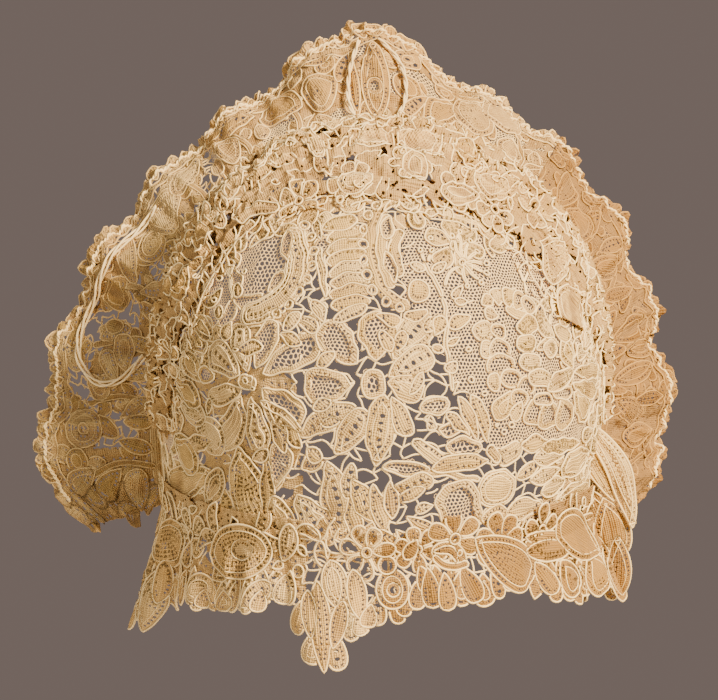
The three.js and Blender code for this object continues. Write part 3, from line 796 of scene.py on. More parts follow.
def strew(panel, spacing, size, allowed, patterns=FLOWER_PATTERNS):
    """Flowers and threes of leaves on a shaken lattice, wherever allowed says."""
    draw = panel.draw
    row = 0
    for y in np.arange(panel.ys[0], panel.ys[-1], spacing * 0.86):
        row += 1
        for x in np.arange(panel.xs[0] + (row % 2) * spacing / 2, panel.xs[-1], spacing):
            p = np.array([x, y]) + draw.uniform(-0.22, 0.22, 2) * spacing
            turn, kind, grow = draw.uniform(0, 360), draw.random(), draw.uniform(0.85, 1.15)
            if not allowed(*p):
                continue
            s = size * grow
            pattern = patterns[int(kind * 97) % len(patterns)]
            if kind < 0.45:
                panel.petals(*p, s, 5 + int(kind * 31) % 3, s * 0.62, turn, pattern)
            else:
                for k in range(3):
                    a = math.radians(turn + 120 * k + 25 * math.sin(k * 7 + kind * 9))
                    way = np.array([math.cos(a), math.sin(a)])
                    side = left_of(way) * (0.25 if k % 2 else -0.25) * s
                    path = [p, p + way * s * 0.6 + side, p + way * s * 1.15]
                    panel.motif(path, s * 0.5, "leaf", pattern)


def cloth_ground(panel, region, slits, slit_length, pins, seed, lift=0.1):
    """Plain cloth over a region, under all motifs: open in long slits where smooth waves, drawn
    out along the chart's first way, rise above slits, and pricked with small holes near the knots
    of a shaken lattice."""
    x, y = panel.grid()
    hollow = (slits - waves(x / slit_length, y, 6.5, seed, 9)) * 3.0
    column, row = np.floor(x / pins), np.floor(y / pins)

    def shake(k):
        """A share from 0 to 1 for each knot that looks drawn by lot: the tail of a large sine."""
        return (np.sin(column * (12.9 + k) + row * (78.2 + 3 * k)) * 43758.5) % 1

    cx = (column + 0.25 + shake(0) * 0.5) * pins
    cy = (row + 0.25 + shake(1) * 0.5) * pins
    prick = np.where(shake(2) < 0.7, np.hypot(x - cx, y - cy) - 0.42 - 0.25 * shake(3), CLEAR)
    for grid, value in (
        (panel.cover, np.minimum(hollow, prick)), (panel.rim, np.minimum(hollow, 0.5)),
        (panel.height, lift + 0.3 * waves(x, y, 3.4, seed + 1)),
        (panel.tone, 0.5 + 0.4 * waves(x, y, 9, seed + 2)),
        (panel.along, x), (panel.inside, y), (panel.owner, 0),
    ):
        grid[...] = np.where(region, value, grid)
    panel.count = max(panel.count, 1)


def loop_shapes(panel, number, region, size, lift, seed, radius):
    """Curls of loose thread: arcs of a spiral at places drawn inside a region of the chart, each
    rising off the cloth in its middle."""
    draw = np.random.default_rng(seed)
    x = draw.uniform(panel.xs[0], panel.xs[-1], number * 6)
    y = draw.uniform(panel.ys[0], panel.ys[-1], number * 6)
    kept = panel.sample(region, pairs(x, y))
    x, y = x[kept][:number], y[kept][:number]
    each = (len(x), 1)
    steps = np.linspace(0, 1, CURL_POINTS)
    begin, hand, far = (
        draw.uniform(0, 2 * np.pi, each), draw.choice([-1, 1], each), draw.uniform(2.6, 6.5, each)
    )
    turn = begin + hand * steps * far
    grow = draw.uniform(0.4, 1.2, each) * size * (0.35 + 0.65 * steps)
    cx, cy = x[:, None] + grow * np.cos(turn), y[:, None] + grow * np.sin(turn)
    high = lift * (0.3 + np.sin(np.pi * steps) * draw.uniform(0.4, 1.3, each))
    flat, lift = pairs(cx, cy), high.ravel() + 0.3
    link = chains(len(flat), CURL_POINTS)
    return tube(panel.lay(flat, lift), outs_of(panel, flat, lift), link, radius, 5)


# The cloth's charts. Crown: millimetres right and up of the middle of the back, along the crown.


def shaken(x, y):
    """Places moved a little by smooth waves, so that no outline is quite regular."""
    return x + 0.55 * waves(x, y, 7.5, 91), y + 0.55 * waves(x, y, 7.5, 92)


def crown_pucker(x, y):
    """How the worn crown cloth puckers: long soft waves and a few sharper creases."""
    return 0.4 * waves(x, y, 17, 3) + 0.55 * (creases(x, y, 17, 5) - 0.55)


def crown_lay(x, y, h):
    """The crown's chart on its ellipsoid: the distance from the chart's middle is how far to tilt
    away from straight back. Soft puckers, and a flatter relief where the flounce lies over it."""
    x, y = shaken(x, y)
    far, turn = np.hypot(x, y), np.arctan2(x, y)
    calm = np.clip((y + 46) / 14, 0.35, 1)
    return crown_place(turn, far * PER_MM, CROWN_LIFT + (crown_pucker(x, y) + h * RELIEF) * calm)


def band_back(turn):
    """How far from the middle of the back the band's lower edge lies, in millimetres."""
    return edge_reach(turn) / PER_MM - BAND_INSET - smooth_table(BAND, 1, np.degrees(turn))


def halo_crinkle(x, y):
    """The halo's pleats, deepest near the seam, its creases, and the crumpled outer edge."""
    pleat = 1.1 * waves(x, y * 0.22, 10, 21) * np.clip(1.35 - y / 50, 0.2, 1)
    worn = 1.0 + 0.8 * np.clip((np.abs(x) - 70) / 60, 0, 1)
    crease = worn * (1.3 * creases(x, y * 0.6, 14, 22) - 0.55) + 0.45 * waves(x, y, 5.5, 23)
    edge = np.clip((y - 38) / 7, 0, 1) * 1.5 * waves(x, y, 5.2, 24)
    return (pleat + crease + edge) * np.clip(y / 9, 0, 1)


def halo_lay(x, y, h):
    """The halo's chart: along the frill, and out from its seam; pleats that are deepest near the
    seam, and crinkles all over."""
    return halo_place(x / HALO_ARC * END_TURN, y / HALO_WIDTH, halo_crinkle(x, y) + h)


def flounce_fold(x, y):
    """The flounce's small folds, which start where it hangs free."""
    free = np.clip((-y - 8) / 14, 0, 1)
    return (0.9 * waves(x, y * 0.5, 12, 31) + 0.9 * (creases(x, y * 0.4, 13, 33) - 0.5)) * free


def flounce_lay(x, y, h):
    """The flounce's chart: along the nape, and up from nothing at its seam to minus its drop."""
    return flounce_place(x / FLOUNCE_MM, -y, 0.1 + flounce_fold(x, y) + h)


def band_ridge(x, y):
    """The band's gathers: rows that run along it, cross folds, and small waves."""
    rows = creases(y * 1.05 + 0.12 * x, x * 0.3, 10.0, 41)
    return 3.0 * rows + 1.4 * creases(x, y, 7.5, 42) + 0.5 * waves(x, y, 3.6, 43) - 2.3


def band_lay(x, y, h):
    """The ruched band's chart: along the arch, and back from its front edge. It lies on a hump like
    the root of a half sine, thrown into sharp ridges that run along and across it."""
    turn = x / BAND_MM
    width, bulk = smooth_table(BAND, 1, turn), smooth_table(BAND, 2, turn) * BAND_BULK
    share = -y / width
    hump = np.sqrt(np.sin(np.pi * np.clip(share, 0, 1)) + 1e-9)
    calm = np.clip(np.minimum(share, 1.04 - share) * 6, 0.12, 1)
    lift = WALL + SEAM + 0.3 + hump * (bulk - 0.6) + band_ridge(x, y) * calm
    rad = np.radians(turn)
    tilt = edge_reach(rad) - (BAND_INSET - y) * PER_MM
    return crown_place(rad, tilt, np.maximum(lift, 1.6) + h * RELIEF)


# The motifs, in the order in which they are laid: runs that share a shape, a pattern and a height,
# as draw_motifs reads them. The tapes and stems follow, and the outlines of the crown's net
# grounds with their kind, 1 fine and 2 coarse.
CROWN_MOTIFS = [
    ("petal", "heart coarse", 0.4, [(-43.1, 17.6, -21.3, 30.7, 10.8), (-43, 12.3, -27, 1.8, 11.3)]),
    ("petal", "rim heart", 0.4, [(-45.7, 18.9, -39.6, 37.1, 9.3)]),
    ("petal", "rim ladder", 0.4, [(-49.3, 18.4, -55.9, 36.2, 9.8), (-52.9, 16.3, -69.8, 27, 12.4)]),
    ("petal", "rim", 0.4, [(-51.8, 11.9, -68.4, 5.9, 8.1), (-52.6, 8.9, -63.8, -11.5, 12.7, 0.12)]),
    ("petal", "rim ladder", 0.4, [(-47.6, 9, -43.2, -11.4, 9.7), (-43.3, 8.3, -27.7, -5.2, 9)]),
    ("petal", "round rim heart", 0.4, [(-2, 23.4, -1.4, 39.9, 13.6)]),
    ("petal", "rim heart", 0.4, [(-8.4, 22, -20.8, 35.5, 12.2), (-9.7, 14.7, -26.7, 14.2, 12.4)]),
    ("petal", "rim ladder", 0.4, [(3.7, 23.4, 16.3, 39.3, 11.5), (2, 18.1, 17.3, 26, 9.7)]),
    ("petal", "rim", 0.4, [(2, 16.4, 13.7, 12, 9.3)]),
    ("leaf", "rim ladder", 0.5, [(-8.3, 7.7, -28.4, -3.5, 8.4, -0.06)]),
    ("leaf", "rim ladder", 0.45, [(-5.3, 7.1, -15.4, -9.1, 9.6)]),
    ("leaf", "rim ladder", 0.5, [(0.7, 11.8, -2, -12.4, 10)]),
    ("petal", "rim", 0.4, [(3.3, 11.5, 9, -2.7, 6.6)]),
    ("oval", "heart coarse", 0.6, [(-7, 15.4, 1.3, 15.4, 10.3)]),
    ("oval", "rim", 0.4, [
        (-20.9, 66.8, -5.5, 69.9, 7.2), (-20.2, 62.3, -5, 65, 6.9), (-20.3, 58, -5.3, 60.7, 6.6),
        (-19.3, 53.8, -4.6, 56.4, 6.4), (-18.4, 49.7, -3.8, 52, 6.3), (-19, 45.7, -3.5, 47.6, 6.1),
        (-18.1, 41.8, -4.1, 43.7, 5.6), (-16.9, 36.5, -5.2, 42, 4.9),
    ]),
    ("petal", "rim", 0.4, [(-26.2, 74.2, -19.2, 77.1, 6.2)]),
    ("leaf", "rim rows", 0.4, [(-14.6, 78.6, -7, 89, 10.2)]),
    ("oval", "rim", 0.4, [(-22.8, 72.1, -9, 75.6, 6.7)]),
    ("leaf", "rim vein", 0.4, [(-27.9, 78, -22.4, 66.9, 3.8)]),
    ("leaf", "rim", 0.4, [(-23.8, 64.6, -19.6, 43.9, 3.3)]),
    ("petal", "rim", 0.4, [(-26.5, 33.5, -20, 43.2, 4.4)]),
    ("leaf", "rim rows", 0.4, [(-32.1, 73.9, -25.5, 83.5, 8.1), (-34.6, 79.8, -48.4, 86.6, 7.2)]),
    ("petal", "rim ladder", 0.4, [(-39.7, 77.7, -53, 87.8, 6.1)]),
    ("leaf", "rim", 0.4, [(-24.4, 44, -19.4, 36.2, 4.9)]),
    ("petal", "rim rows", 0.4, [(-30.5, 38.4, -22.1, 33.4, 5.2)]),
    ("leaf", "rim rows", 0.4, [(-34.9, 33.5, -29.1, 39.8, 5.4)]),
    ("oval", "round rim", 0.6, [(8.8, 47, 17, 47.1, 8.3)]),
    ("oval", "rim", 0.9, [(10, 74.3, 16.3, 75.6, 9.7)]),
    ("leaf", "rim vein", 0.4, [(24.8, 83.9, 36.1, 80.1, 7.1)]),
    ("petal", "rim rows", 0.4, [(5.4, 85.9, 15.2, 82.5, 8)]),
    ("petal", "rim", 0.4, [(-2, 38.2, 6.1, 36.1, 4.8)]),
    ("leaf", "rim rows", 0.4, [(6.9, 37.5, 16, 39.6, 4.5)]),
    ("leaf", "rim ladder", 0.4, [(7.5, 33.4, 4.7, 26, 4.7)]),
    ("leaf", "rim rows", 0.4, [(18.7, 37.6, 14.4, 32.7, 4.8)]),
    ("leaf", "rim", 0.35, [(17.7, 54.1, 23.6, 58.2, 3.6), (15.5, 54.4, 10.1, 57.3, 3.5)]),
    ("leaf", "rim", 0.4, [(25, 44.8, 29.1, 49.3, 3.6), (25.7, 44.1, 31.4, 43.5, 3.3)]),
    ("leaf", "rim rows", 0.4, [(23, 34.5, 31.9, 38.8, 4.9)]),
    ("leaf", "rim", 0.4, [
        (22.4, 28, 27.6, 31, 3.1), (21.1, 33.4, 16.9, 36.2, 3.9), (21.2, 25.9, 17.1, 28.3, 3.5),
    ]),
    ("leaf", "rim rows", 0.4, [(21.8, 19.1, 26.2, 22.4, 4.2)]),
    ("oval", "round rim", 0.5, [(43, 66.4, 52.4, 69.5, 7.8)]),
    ("petal", "rim", 0.45, [
        (40.7, 42.3, 37.3, 45.9, 5.6), (44.2, 42.4, 42.8, 49.2, 6), (48.7, 41.8, 47.9, 49.9, 6.3),
    ]),
    ("petal", "heart", 0.4, [(51.5, 41.1, 55, 48.4, 7.6), (56.3, 39.7, 60, 46.2, 8.1)]),
    ("petal", "rim", 0.45, [(43.8, 38.7, 37.2, 40, 5)]),
    ("oval", "rim rows", 0.5, [(31.9, 33.1, 40.8, 33.1, 7.5)]),
    ("oval", "rim heart", 0.5, [(39.5, 33.1, 46, 33.1, 6.2)]),
    ("oval", "rim", 0.4, [(34.7, 26.4, 39.6, 27, 7.1)]),
    ("oval", "rim heart", 0.5, [(37.9, 27.1, 47.7, 26.5, 7.2)]),
    ("oval", "rim heart", 0.42, [(36.8, 20.7, 49.7, 20.9, 7.9)]),
    ("oval", "rim", 0.45, [(37.1, 14.8, 42.8, 15.1, 7.1)]),
    ("oval", "rim heart", 0.5, [(42.8, 15.5, 51.8, 16, 7.3), (49.8, 13.2, 58.6, 11.3, 7.4)]),
    ("petal", "rim rows", 0.5, [(47.5, 10.8, 40.2, 2.1, 8.5)]),
    ("oval", "rim heart", 0.5, [(47, 9.4, 54.9, 6.8, 7.4)]),
    ("petal", "rim", 0.5, [(52, 6.7, 47, 0.6, 5.5)]),
    ("petal", "rim heart", 0.5, [
        (59, 8.2, 57, -3.1, 10), (66.2, 6.6, 65.7, -5.8, 12), (74.4, 5.8, 78.1, -7.6, 13.5),
    ]),
    ("oval", "heart", 0.55, [(57.5, 7.6, 68, 5.5, 5.4), (68, 8.7, 81.8, 6.4, 6.1)]),
    ("petal", "rim rows", 0.45, [(83.4, 6.5, 97.4, -7.4, 13.4), (81.9, 10.2, 108.8, 1.7, 8.2)]),
    ("petal", "rim", 0.45, [(83.9, 15.2, 113.8, 12.1, 8)]),
    ("oval", "rim rows", 0.7, [
        (50.6, 33.5, 62.5, 37.5, 7.8), (50.1, 27.5, 60.3, 28.8, 7.6), (51.1, 21.6, 62.3, 21, 7.2),
    ]),
    ("oval", "rim rows", 0.75, [(54.7, 16.2, 68.2, 13.5, 6.9)]),
    ("leaf", "rim rows", 0.8, [(64.5, 10.3, 84, 16, 7.8)]),
    ("leaf", "rim rows", 0.65, [(75.8, 30.1, 82.3, 16.2, 9.6)]),
    ("petal", "rim", 0.6, [(70.5, 35.1, 82.7, 30, 7.5)]),
    ("oval", "ring", 0.42, [
        (-30.7, 76.5, -30.1, 71.9, 4.3), (-27.1, 70.7, -26.7, 66.4, 4.1),
        (-25.8, 64.7, -25.5, 60.6, 4), (-25.7, 58.7, -25.4, 54.8, 3.9), (-27.3, 53.7, -27, 50, 3.9),
        (-30.1, 49, -29.8, 45.3, 3.9), (-33.7, 44.3, -33.4, 40.6, 4), (-38.3, 41.5, -38, 37.8, 4.1),
        (-2.1, 83.8, -2.1, 79.1, 3.9), (-5.2, 79.6, -5.2, 75.1, 3.8), (-6.6, 72.9, -6.6, 68.7, 3.8),
        (-6.9, 66.2, -6.8, 62.2, 3.7), (-6.4, 59.9, -6.4, 56.1, 3.6), (-5.6, 54.6, -5.6, 50.9, 3.5),
        (-3.1, 49.1, -3.1, 45.5, 3.5), (1.4, 45.1, 1.4, 41.6, 3.5), (6.6, 42.7, 6.5, 39.2, 3.5),
    ]),
    ("leaf", "heart", 0.5, [(-37.1, 72.7, -35.8, 59, 5.7), (-36.7, 55.9, -42.7, 47.7, 5.4)]),
    ("oval", "heart", 0.75, [(2.5, 76.4, 1.6, 66.2, 5.2)]),
    ("leaf", "heart", 0.75, [(1.2, 61.4, 5.3, 49.4, 4.3)]),
    ("oval", "round", 0.6, [(-53.3, 14, -45.1, 14.6, 5.8)]),
    ("oval", "round", 0.9, [(-50.1, 15.8, -46.5, 16, 2.5)]),
    ("oval", "ring", 0.5, [(64.4, 26, 72.4, 25.7, 7.6)]),
    ("leaf", "rim", 0.4, [(80.3, 34.3, 79.3, 48.4, 9.7), (86.1, 29.9, 105.2, 48.6, 9.7)]),
    ("leaf", "rim rows", 0.4, [(92.7, 24.2, 112.2, 37.3, 9.7)]),
    ("oval", "heart", 0.5, [(12.7, 7.3, 23.1, 8.3, 6.4)]),
    ("leaf", "rim rows", 0.5, [(30.8, 11.3, 37.4, -7, 4.9, 0.06)]),
    ("leaf", "rim", 0.5, [(26, 10.8, 33.5, -5.1, 4.3, 0.04)]),
    ("oval", "heart coarse", 0.35, [(18.9, -0.4, 27.8, -0.7, 4.5)]),
    ("oval", "heart coarse", 0.4, [(21.7, -6.1, 35, -8.1, 7)]),
    ("leaf", "rim", 0.4, [(21.7, 5.6, 30.4, -3.3, 4.1)]),
    ("tape", "rim rows", 0.45, [(10.3, -3.1, 21.3, -12.7, 4.3)]),
    ("leaf", "rim rows", 0.5, [(16.8, -13.7, 38.1, -13.2, 6.4, 0.06)]),
    ("leaf", "heart", 0.45, [(0.3, -12.4, 16.8, -13.7, 5.1)]),
    ("leaf", "rim ladder", 0.55, [(17.1, -15.8, 3.7, -20.2, 6.8, 0.05)]),
    ("leaf", "rim rows", 0.5, [(14, -19.6, 4.3, -24.6, 4.4)]),
    ("oval", "round rim double", 0.55, [(32.9, -22.1, 49, -24.8, 13.7)]),
    ("tape", "rim rows", 0.6, [(41.4, -14.1, 51.6, -9.8, 7.3)]),
    ("leaf", "rim ladder", 0.5, [(49.1, -21.8, 61, -18, 5.6)]),
    ("tape", "rim", 0.4, [(37.4, -7.7, 42.2, -14.2, 3.7)]),
    ("leaf", "rim", 0.4, [(51.1, -9.8, 65.7, -10.3, 6.3), (57.9, -16.5, 77.2, -18.2, 7.7)]),
    ("leaf", "rim rows", 0.4, [(61.2, -12.5, 88.9, -17.3, 6.8)]),
    ("petal", "rim heart", 0.6, [(30.8, -38.6, 21.6, -19.9, 15.7, -0.06)]),
    ("leaf", "rim", 0.45, [
        (19.2, -37.1, 7.9, -29.3, 4.8), (18.1, -40.2, 4.6, -37.3, 4.8),
        (33.7, -32.7, 46.8, -33.5, 7), (44.2, -32.9, 60.9, -34.7, 8),
    ]),
    ("leaf", "rim rows", 0.5, [(46.3, -42.1, 66.3, -39.4, 7.1)]),
    ("leaf", "rim", 0.4, [(60.6, -29.8, 76.8, -30.3, 7.7)]),
    ("leaf", "rim rows", 0.4, [(55.7, -23.8, 72.9, -24.6, 6.4)]),
    ("leaf", "rim", 0.4, [(72.9, -24.6, 100.2, -26.3, 12.5)]),
    ("petal", "rim rows", 0.4, [(69.7, -36.2, 100.6, -44.1, 12.5)]),
    ("oval", "", 0.3, [(24.9, -42.8, 26.6, -43.1, 2.3)]),
    ("leaf", "rim rows", 0.6, [(-39.1, -43.2, -53.5, -10.2, 17.8, 0.05)]),
    ("oval", "round rim rows", 0.55, [(-38.6, -44.5, -67.2, -52.4, 21.2)]),
    ("petal", "rim heart", 0.5, [(-37.3, -22.4, -34.4, -6.2, 8.9)]),
    ("leaf", "rim", 0.45, [(-39.6, -34.6, -41.2, -11.5, 6.2)]),
    ("leaf", "rim", 0.4, [(-30.9, -39.6, -38.4, -25.1, 9.6), (-27.8, -55.2, -33.2, -38.1, 9.8)]),
    ("petal", "rim heart", 0.45, [(-27.3, -15, -20.2, -9.5, 6.7)]),
    ("leaf", "rim ladder", 0.55, [(-13.3, -37.8, -18.1, -11, 12, -0.04)]),
    ("leaf", "rim ladder", 0.5, [(-14.9, -38.3, -29.3, -23.3, 11.1, 0.04)]),
    ("leaf", "rim rows", 0.45, [(-13.9, -50.4, -24.9, -45.1, 9.4)]),
    ("leaf", "rim ladder", 0.4, [(-11.5, -23.9, -10, -10.9, 6)]),
    ("leaf", "rim", 0.45, [(-8.4, -36.8, -10.5, -21.8, 5.6)]),
    ("leaf", "rim ladder", 0.4, [(-3.2, -30.2, -9.9, -16.4, 7.4)]),
    ("leaf", "rim rows", 0.4, [(-5, -43, -3.2, -30.2, 6.5)]),
    ("leaf", "rim", 0.4, [(1.4, -33.4, -3.3, -18.2, 5.9)]),
    ("leaf", "rim rows", 0.4, [(3.3, -30.2, 2.7, -16.8, 4.9)]),
    ("leaf", "rim", 0.4, [(6.5, -43.1, -0.6, -32.7, 5.7)]),
    ("leaf", "rim rows", 0.4, [(11.7, -42.1, 4.6, -33.4, 4.1)]),
    ("petal", "rim", 0.5, [(-66.9, -22.8, -105.8, -48.3, 16.4)]),
    ("leaf", "rim rows", 0.45, [(-60, -13, -77.5, -3.6, 15)]),
    ("petal", "rim rows", 0.4, [(-66.1, -10.3, -85.2, -18, 8.1)]),
    ("leaf", "rim rows", 0.4, [(-70.9, -3.1, -90.5, -0.1, 10.8)]),
    ("leaf", "rim", 0.4, [(-74.7, 2.8, -94.8, 10.2, 11.1)]),
    ("petal", "rim rows", 0.4, [(-72.4, 13, -88.3, 21.8, 11.4)]),
    ("leaf", "rim vein", 0.4, [(-73.3, 24.4, -85.8, 36.1, 9.3)]),
    ("petal", "rim rows", 0.4, [(-67.5, 28.7, -81.5, 38.7, 8.9)]),
    ("leaf", "rim", 0.4, [(-75.7, -25.6, -94.7, -18.2, 14.9)]),
    ("leaf", "rim rows", 0.4, [(-61.3, -21.3, -70.3, -38.5, 10.5)]),
    ("leaf", "rim", 0.4, [(-69.7, -38.2, -79.5, -58.2, 13.1)]),
    ("oval", "rim", 0.9, [(-51.4, 14.6, -48.7, 14.8, 2.6), (-48.1, 12.2, -45.9, 12.4, 2.2)]),
    ("leaf", "rim", 0.4, [(-33.3, -9.3, -38.8, 1.5, 6), (-40.4, -9.5, -47, -15, 5.1)]),
    ("leaf", "rim rows", 0.4, [(-28.1, -7.3, -33.3, 0.3, 5)]),
    ("leaf", "rim", 0.4, [(-20.2, -11.5, -25.9, -7.1, 5.1)]),
    ("leaf", "rim rows", 0.4, [(-43.6, 28, -55.3, 25.2, 5.3)]),
    ("leaf", "rim", 0.4, [(-28.5, 28.2, -36.5, 32.8, 4.6)]),
    ("oval", "heart", 0.4, [(-75.8, 14.7, -66.4, 16, 7.2)]),
    ("leaf", "rim", 0.4, [(-63, 29.6, -58.5, 36.6, 6.3)]),
    ("petal", "rim", 0.4, [(-16.3, 26, -21.8, 21.2, 4.8)]),
    ("leaf", "rim", 0.4, [
        (-17.5, 9.8, -23.7, 6.2, 4.4), (-14, 3.2, -21.6, 1.5, 3.4), (3.3, 26, -0.7, 33.4, 4.4),
    ]),
    ("petal", "rim", 0.4, [(17.8, 31.4, 21.7, 38.3, 4.6)]),
    ("leaf", "rim", 0.4, [(9.3, 11.7, 14.1, 19.3, 3.7)]),
    ("oval", "ring", 0.6, [
        (25.9, 69.3, 28, 69.5, 2.2), (29.4, 70.9, 31.5, 71.2, 2.2), (33.2, 67.4, 35.3, 67.7, 2.2),
        (35.6, 63.5, 37.8, 63.7, 2.1), (39.2, 58.9, 41.8, 59.1, 2.5), (38.2, 54.8, 40.8, 55, 2.4),
        (35.5, 50.7, 37.6, 50.9, 1.9), (29.7, 49.3, 31.7, 49.4, 1.9), (17, 62.6, 19.3, 62.7, 2.4),
        (12.7, 62, 14.6, 62.1, 2), (17.5, 67.5, 19.5, 67.6, 2.1), (27.9, 58.4, 31.1, 58.6, 3.2),
        (72.3, 51, 76, 51.3, 2.4), (79.4, 52.5, 83.8, 53, 2.6), (81.9, 47.7, 86.4, 48, 2.5),
    ]),
    ("oval", "", 0.6, [(75.1, 41.1, 78.1, 41.2, 1.8)]),
    ("oval", "ring", 0.6, [
        (28.6, 26.9, 30.8, 26.8, 2.1), (29.6, 16.2, 32.2, 16.1, 2.4), (34.6, 11.1, 37, 10.9, 2.1),
        (45.9, -1.1, 49, -1.5, 2.6), (42.7, -2.9, 45.3, -3.2, 2.2),
    ]),
    ("oval", "", 0.6, [
        (40.2, -0.4, 41.8, -0.6, 1.5), (54.7, 60, 56.6, 60.2, 1.6), (61.2, 59.5, 63.3, 59.7, 1.6),
    ]),
    ("oval", "ring", 0.6, [
        (-71.2, 55.7, -66.6, 55.2, 3.3), (-65.2, 61.8, -60.9, 61.2, 3.4),
        (-56.7, 56.8, -54.1, 56.5, 2.2), (-72.1, 46.1, -68.8, 45.9, 2.2),
        (-56.9, 25.9, -53.9, 25.9, 2.3),
    ]),
    ("oval", "rim", 0.5, [(-58.3, 52.7, -56.7, 46.1, 5.3), (-66.8, 43.3, -65.2, 37.5, 5.3)]),
]
CROWN_LINES = [
    ([
        (-35.9, 73.5), (-31.3, 58.6), (-33.9, 48), (-42.1, 41.6), (-54.1, 37.7),
    ], 9.8, "rows rim double", 0.5),
    ([(-73.9, 63.6), (-74.1, 75.7), (-64.9, 80.4), (-53.4, 76.8), (-46.9, 70.5)], 6.3, "rim", 0.5),
    ([
        (16.9, 83.1), (6.5, 83.4), (-0.6, 80), (-3.6, 72.9), (-4.3, 63.4), (-3.1, 54.6),
        (0.4, 46.9), (5.5, 42.7), (10.4, 42),
    ], 4.3, "rim", 0.55),
    ([(6.9, 71.2), (4.4, 62.2), (6.4, 51.6)], 4.3, "rim", 0.45),
    ([(1.7, 77.3), (-0.3, 64.2), (1.5, 53.8), (4.2, 48)], 3.9, "rows", 0.42),
    ([(16.9, 78.3), (27.1, 77.9), (38.9, 74.8), (48.2, 68.8)], 5.1, "rim", 0.5),
    ([(15.3, 58.2), (16.9, 53.3), (18.3, 52.3), (21.6, 44.7)], 1.3, "", 0.45),
    ([(21.6, 44.7), (22.3, 36.9), (22, 28.3), (22.9, 21.5), (24.2, 12.3)], 1.3, "", 0.5),
    ([(29.9, 58.2), (26.9, 68.5)], 1, "", 0.45),
    ([(29.9, 58.2), (30.3, 70.2)], 1, "", 0.45),
    ([(29.9, 58.2), (33.8, 67.1)], 1, "", 0.45),
    ([(29.9, 58.2), (36.2, 63.1)], 1, "", 0.45),
    ([(29.9, 58.2), (39.6, 58.9)], 1, "", 0.45),
    ([(29.9, 58.2), (38.7, 55.2)], 1, "", 0.45),
    ([(29.9, 58.2), (35.7, 51.5)], 1, "", 0.45),
    ([(29.9, 58.2), (30.7, 50.1)], 1, "", 0.45),
    ([(29, 56.9), (24.8, 54.4), (22.6, 49.1)], 1, "", 0.45),
    ([(18.5, 61.8), (17.1, 57.9)], 0.9, "", 0.45),
    ([(14, 61.7), (16, 57.8)], 0.9, "", 0.45),
    ([(46.8, 41.7), (53.2, 39.2), (61.2, 36.3)], 3.5, "", 0.6),
    ([(70.2, 40.1), (73.7, 49.7)], 0.9, "", 0.45),
    ([(70.2, 40.1), (80.4, 51.7)], 0.9, "", 0.45),
    ([(70.2, 40.1), (83, 47.3)], 0.9, "", 0.45),
    ([(68, 35.1), (70.2, 40.1)], 1, "", 0.45),
    ([(57.4, 52.6), (55.5, 59.2)], 0.9, "", 0.45),
    ([(57.4, 52.6), (61.5, 59.1)], 0.9, "", 0.45),
    ([(57.4, 46.9), (57.4, 52.6)], 0.9, "", 0.45),
    ([(-63.2, 54.9), (-67.5, 62.6)], 0.9, "", 0.4),
    ([(-63.2, 54.9), (-61.7, 60.9)], 0.9, "", 0.4),
    ([(-63.2, 54.9), (-65, 62.2)], 0.9, "", 0.4),
    ([(-63.2, 54.9), (-59.7, 45.4)], 0.9, "", 0.4),
    ([(7.3, -13.6), (19.5, -15.6), (34.1, -19.4)], 2, "", 0.35),
    ([(-26.8, -47.4), (-16.7, -43.9), (-6.9, -45), (5.9, -43)], 2.3, "", 0.4),
    ([(73, -21.3), (51.1, -7.5)], 2.3, "", 0.35),
]
CROWN_NETS = [
    ([
        (-77, 64.1), (-72.1, 76.3), (-49.5, 73.7), (-35.7, 69), (-32.1, 58.7), (-34.4, 48),
        (-43, 42.4), (-54.6, 38.1), (-61.3, 33.5), (-69.5, 34.3), (-75.9, 46.4),
    ], 1),
    ([
        (-48.8, 69.8), (-36.7, 70), (-32.9, 58.8), (-35.3, 49.6), (-44.1, 43.9), (-51.5, 45),
        (-50, 60.3),
    ], 2),
    ([
        (8.4, 72.1), (22.6, 74.7), (39.2, 71.2), (58.3, 66.7), (73, 56.9), (89.5, 47.3),
        (105.9, 33.2), (121.2, 16.3), (100.2, -20.2), (61.2, -9.3), (42.3, -9.8), (35.8, -5.3),
        (30.4, 9.2), (23.9, 16.4), (19.9, 30), (13.2, 40.3), (7.6, 43.8),
    ], 1),
    ([(-116.9, -22.5), (-88.8, -14.5), (-84.9, -26.1), (-94.4, -32.8), (-123.8, -44.4)], 1),
    ([(-0.6, 72), (4, 77.3), (6.1, 69.5), (4.4, 57.6), (0.8, 57.6)], 1),
]
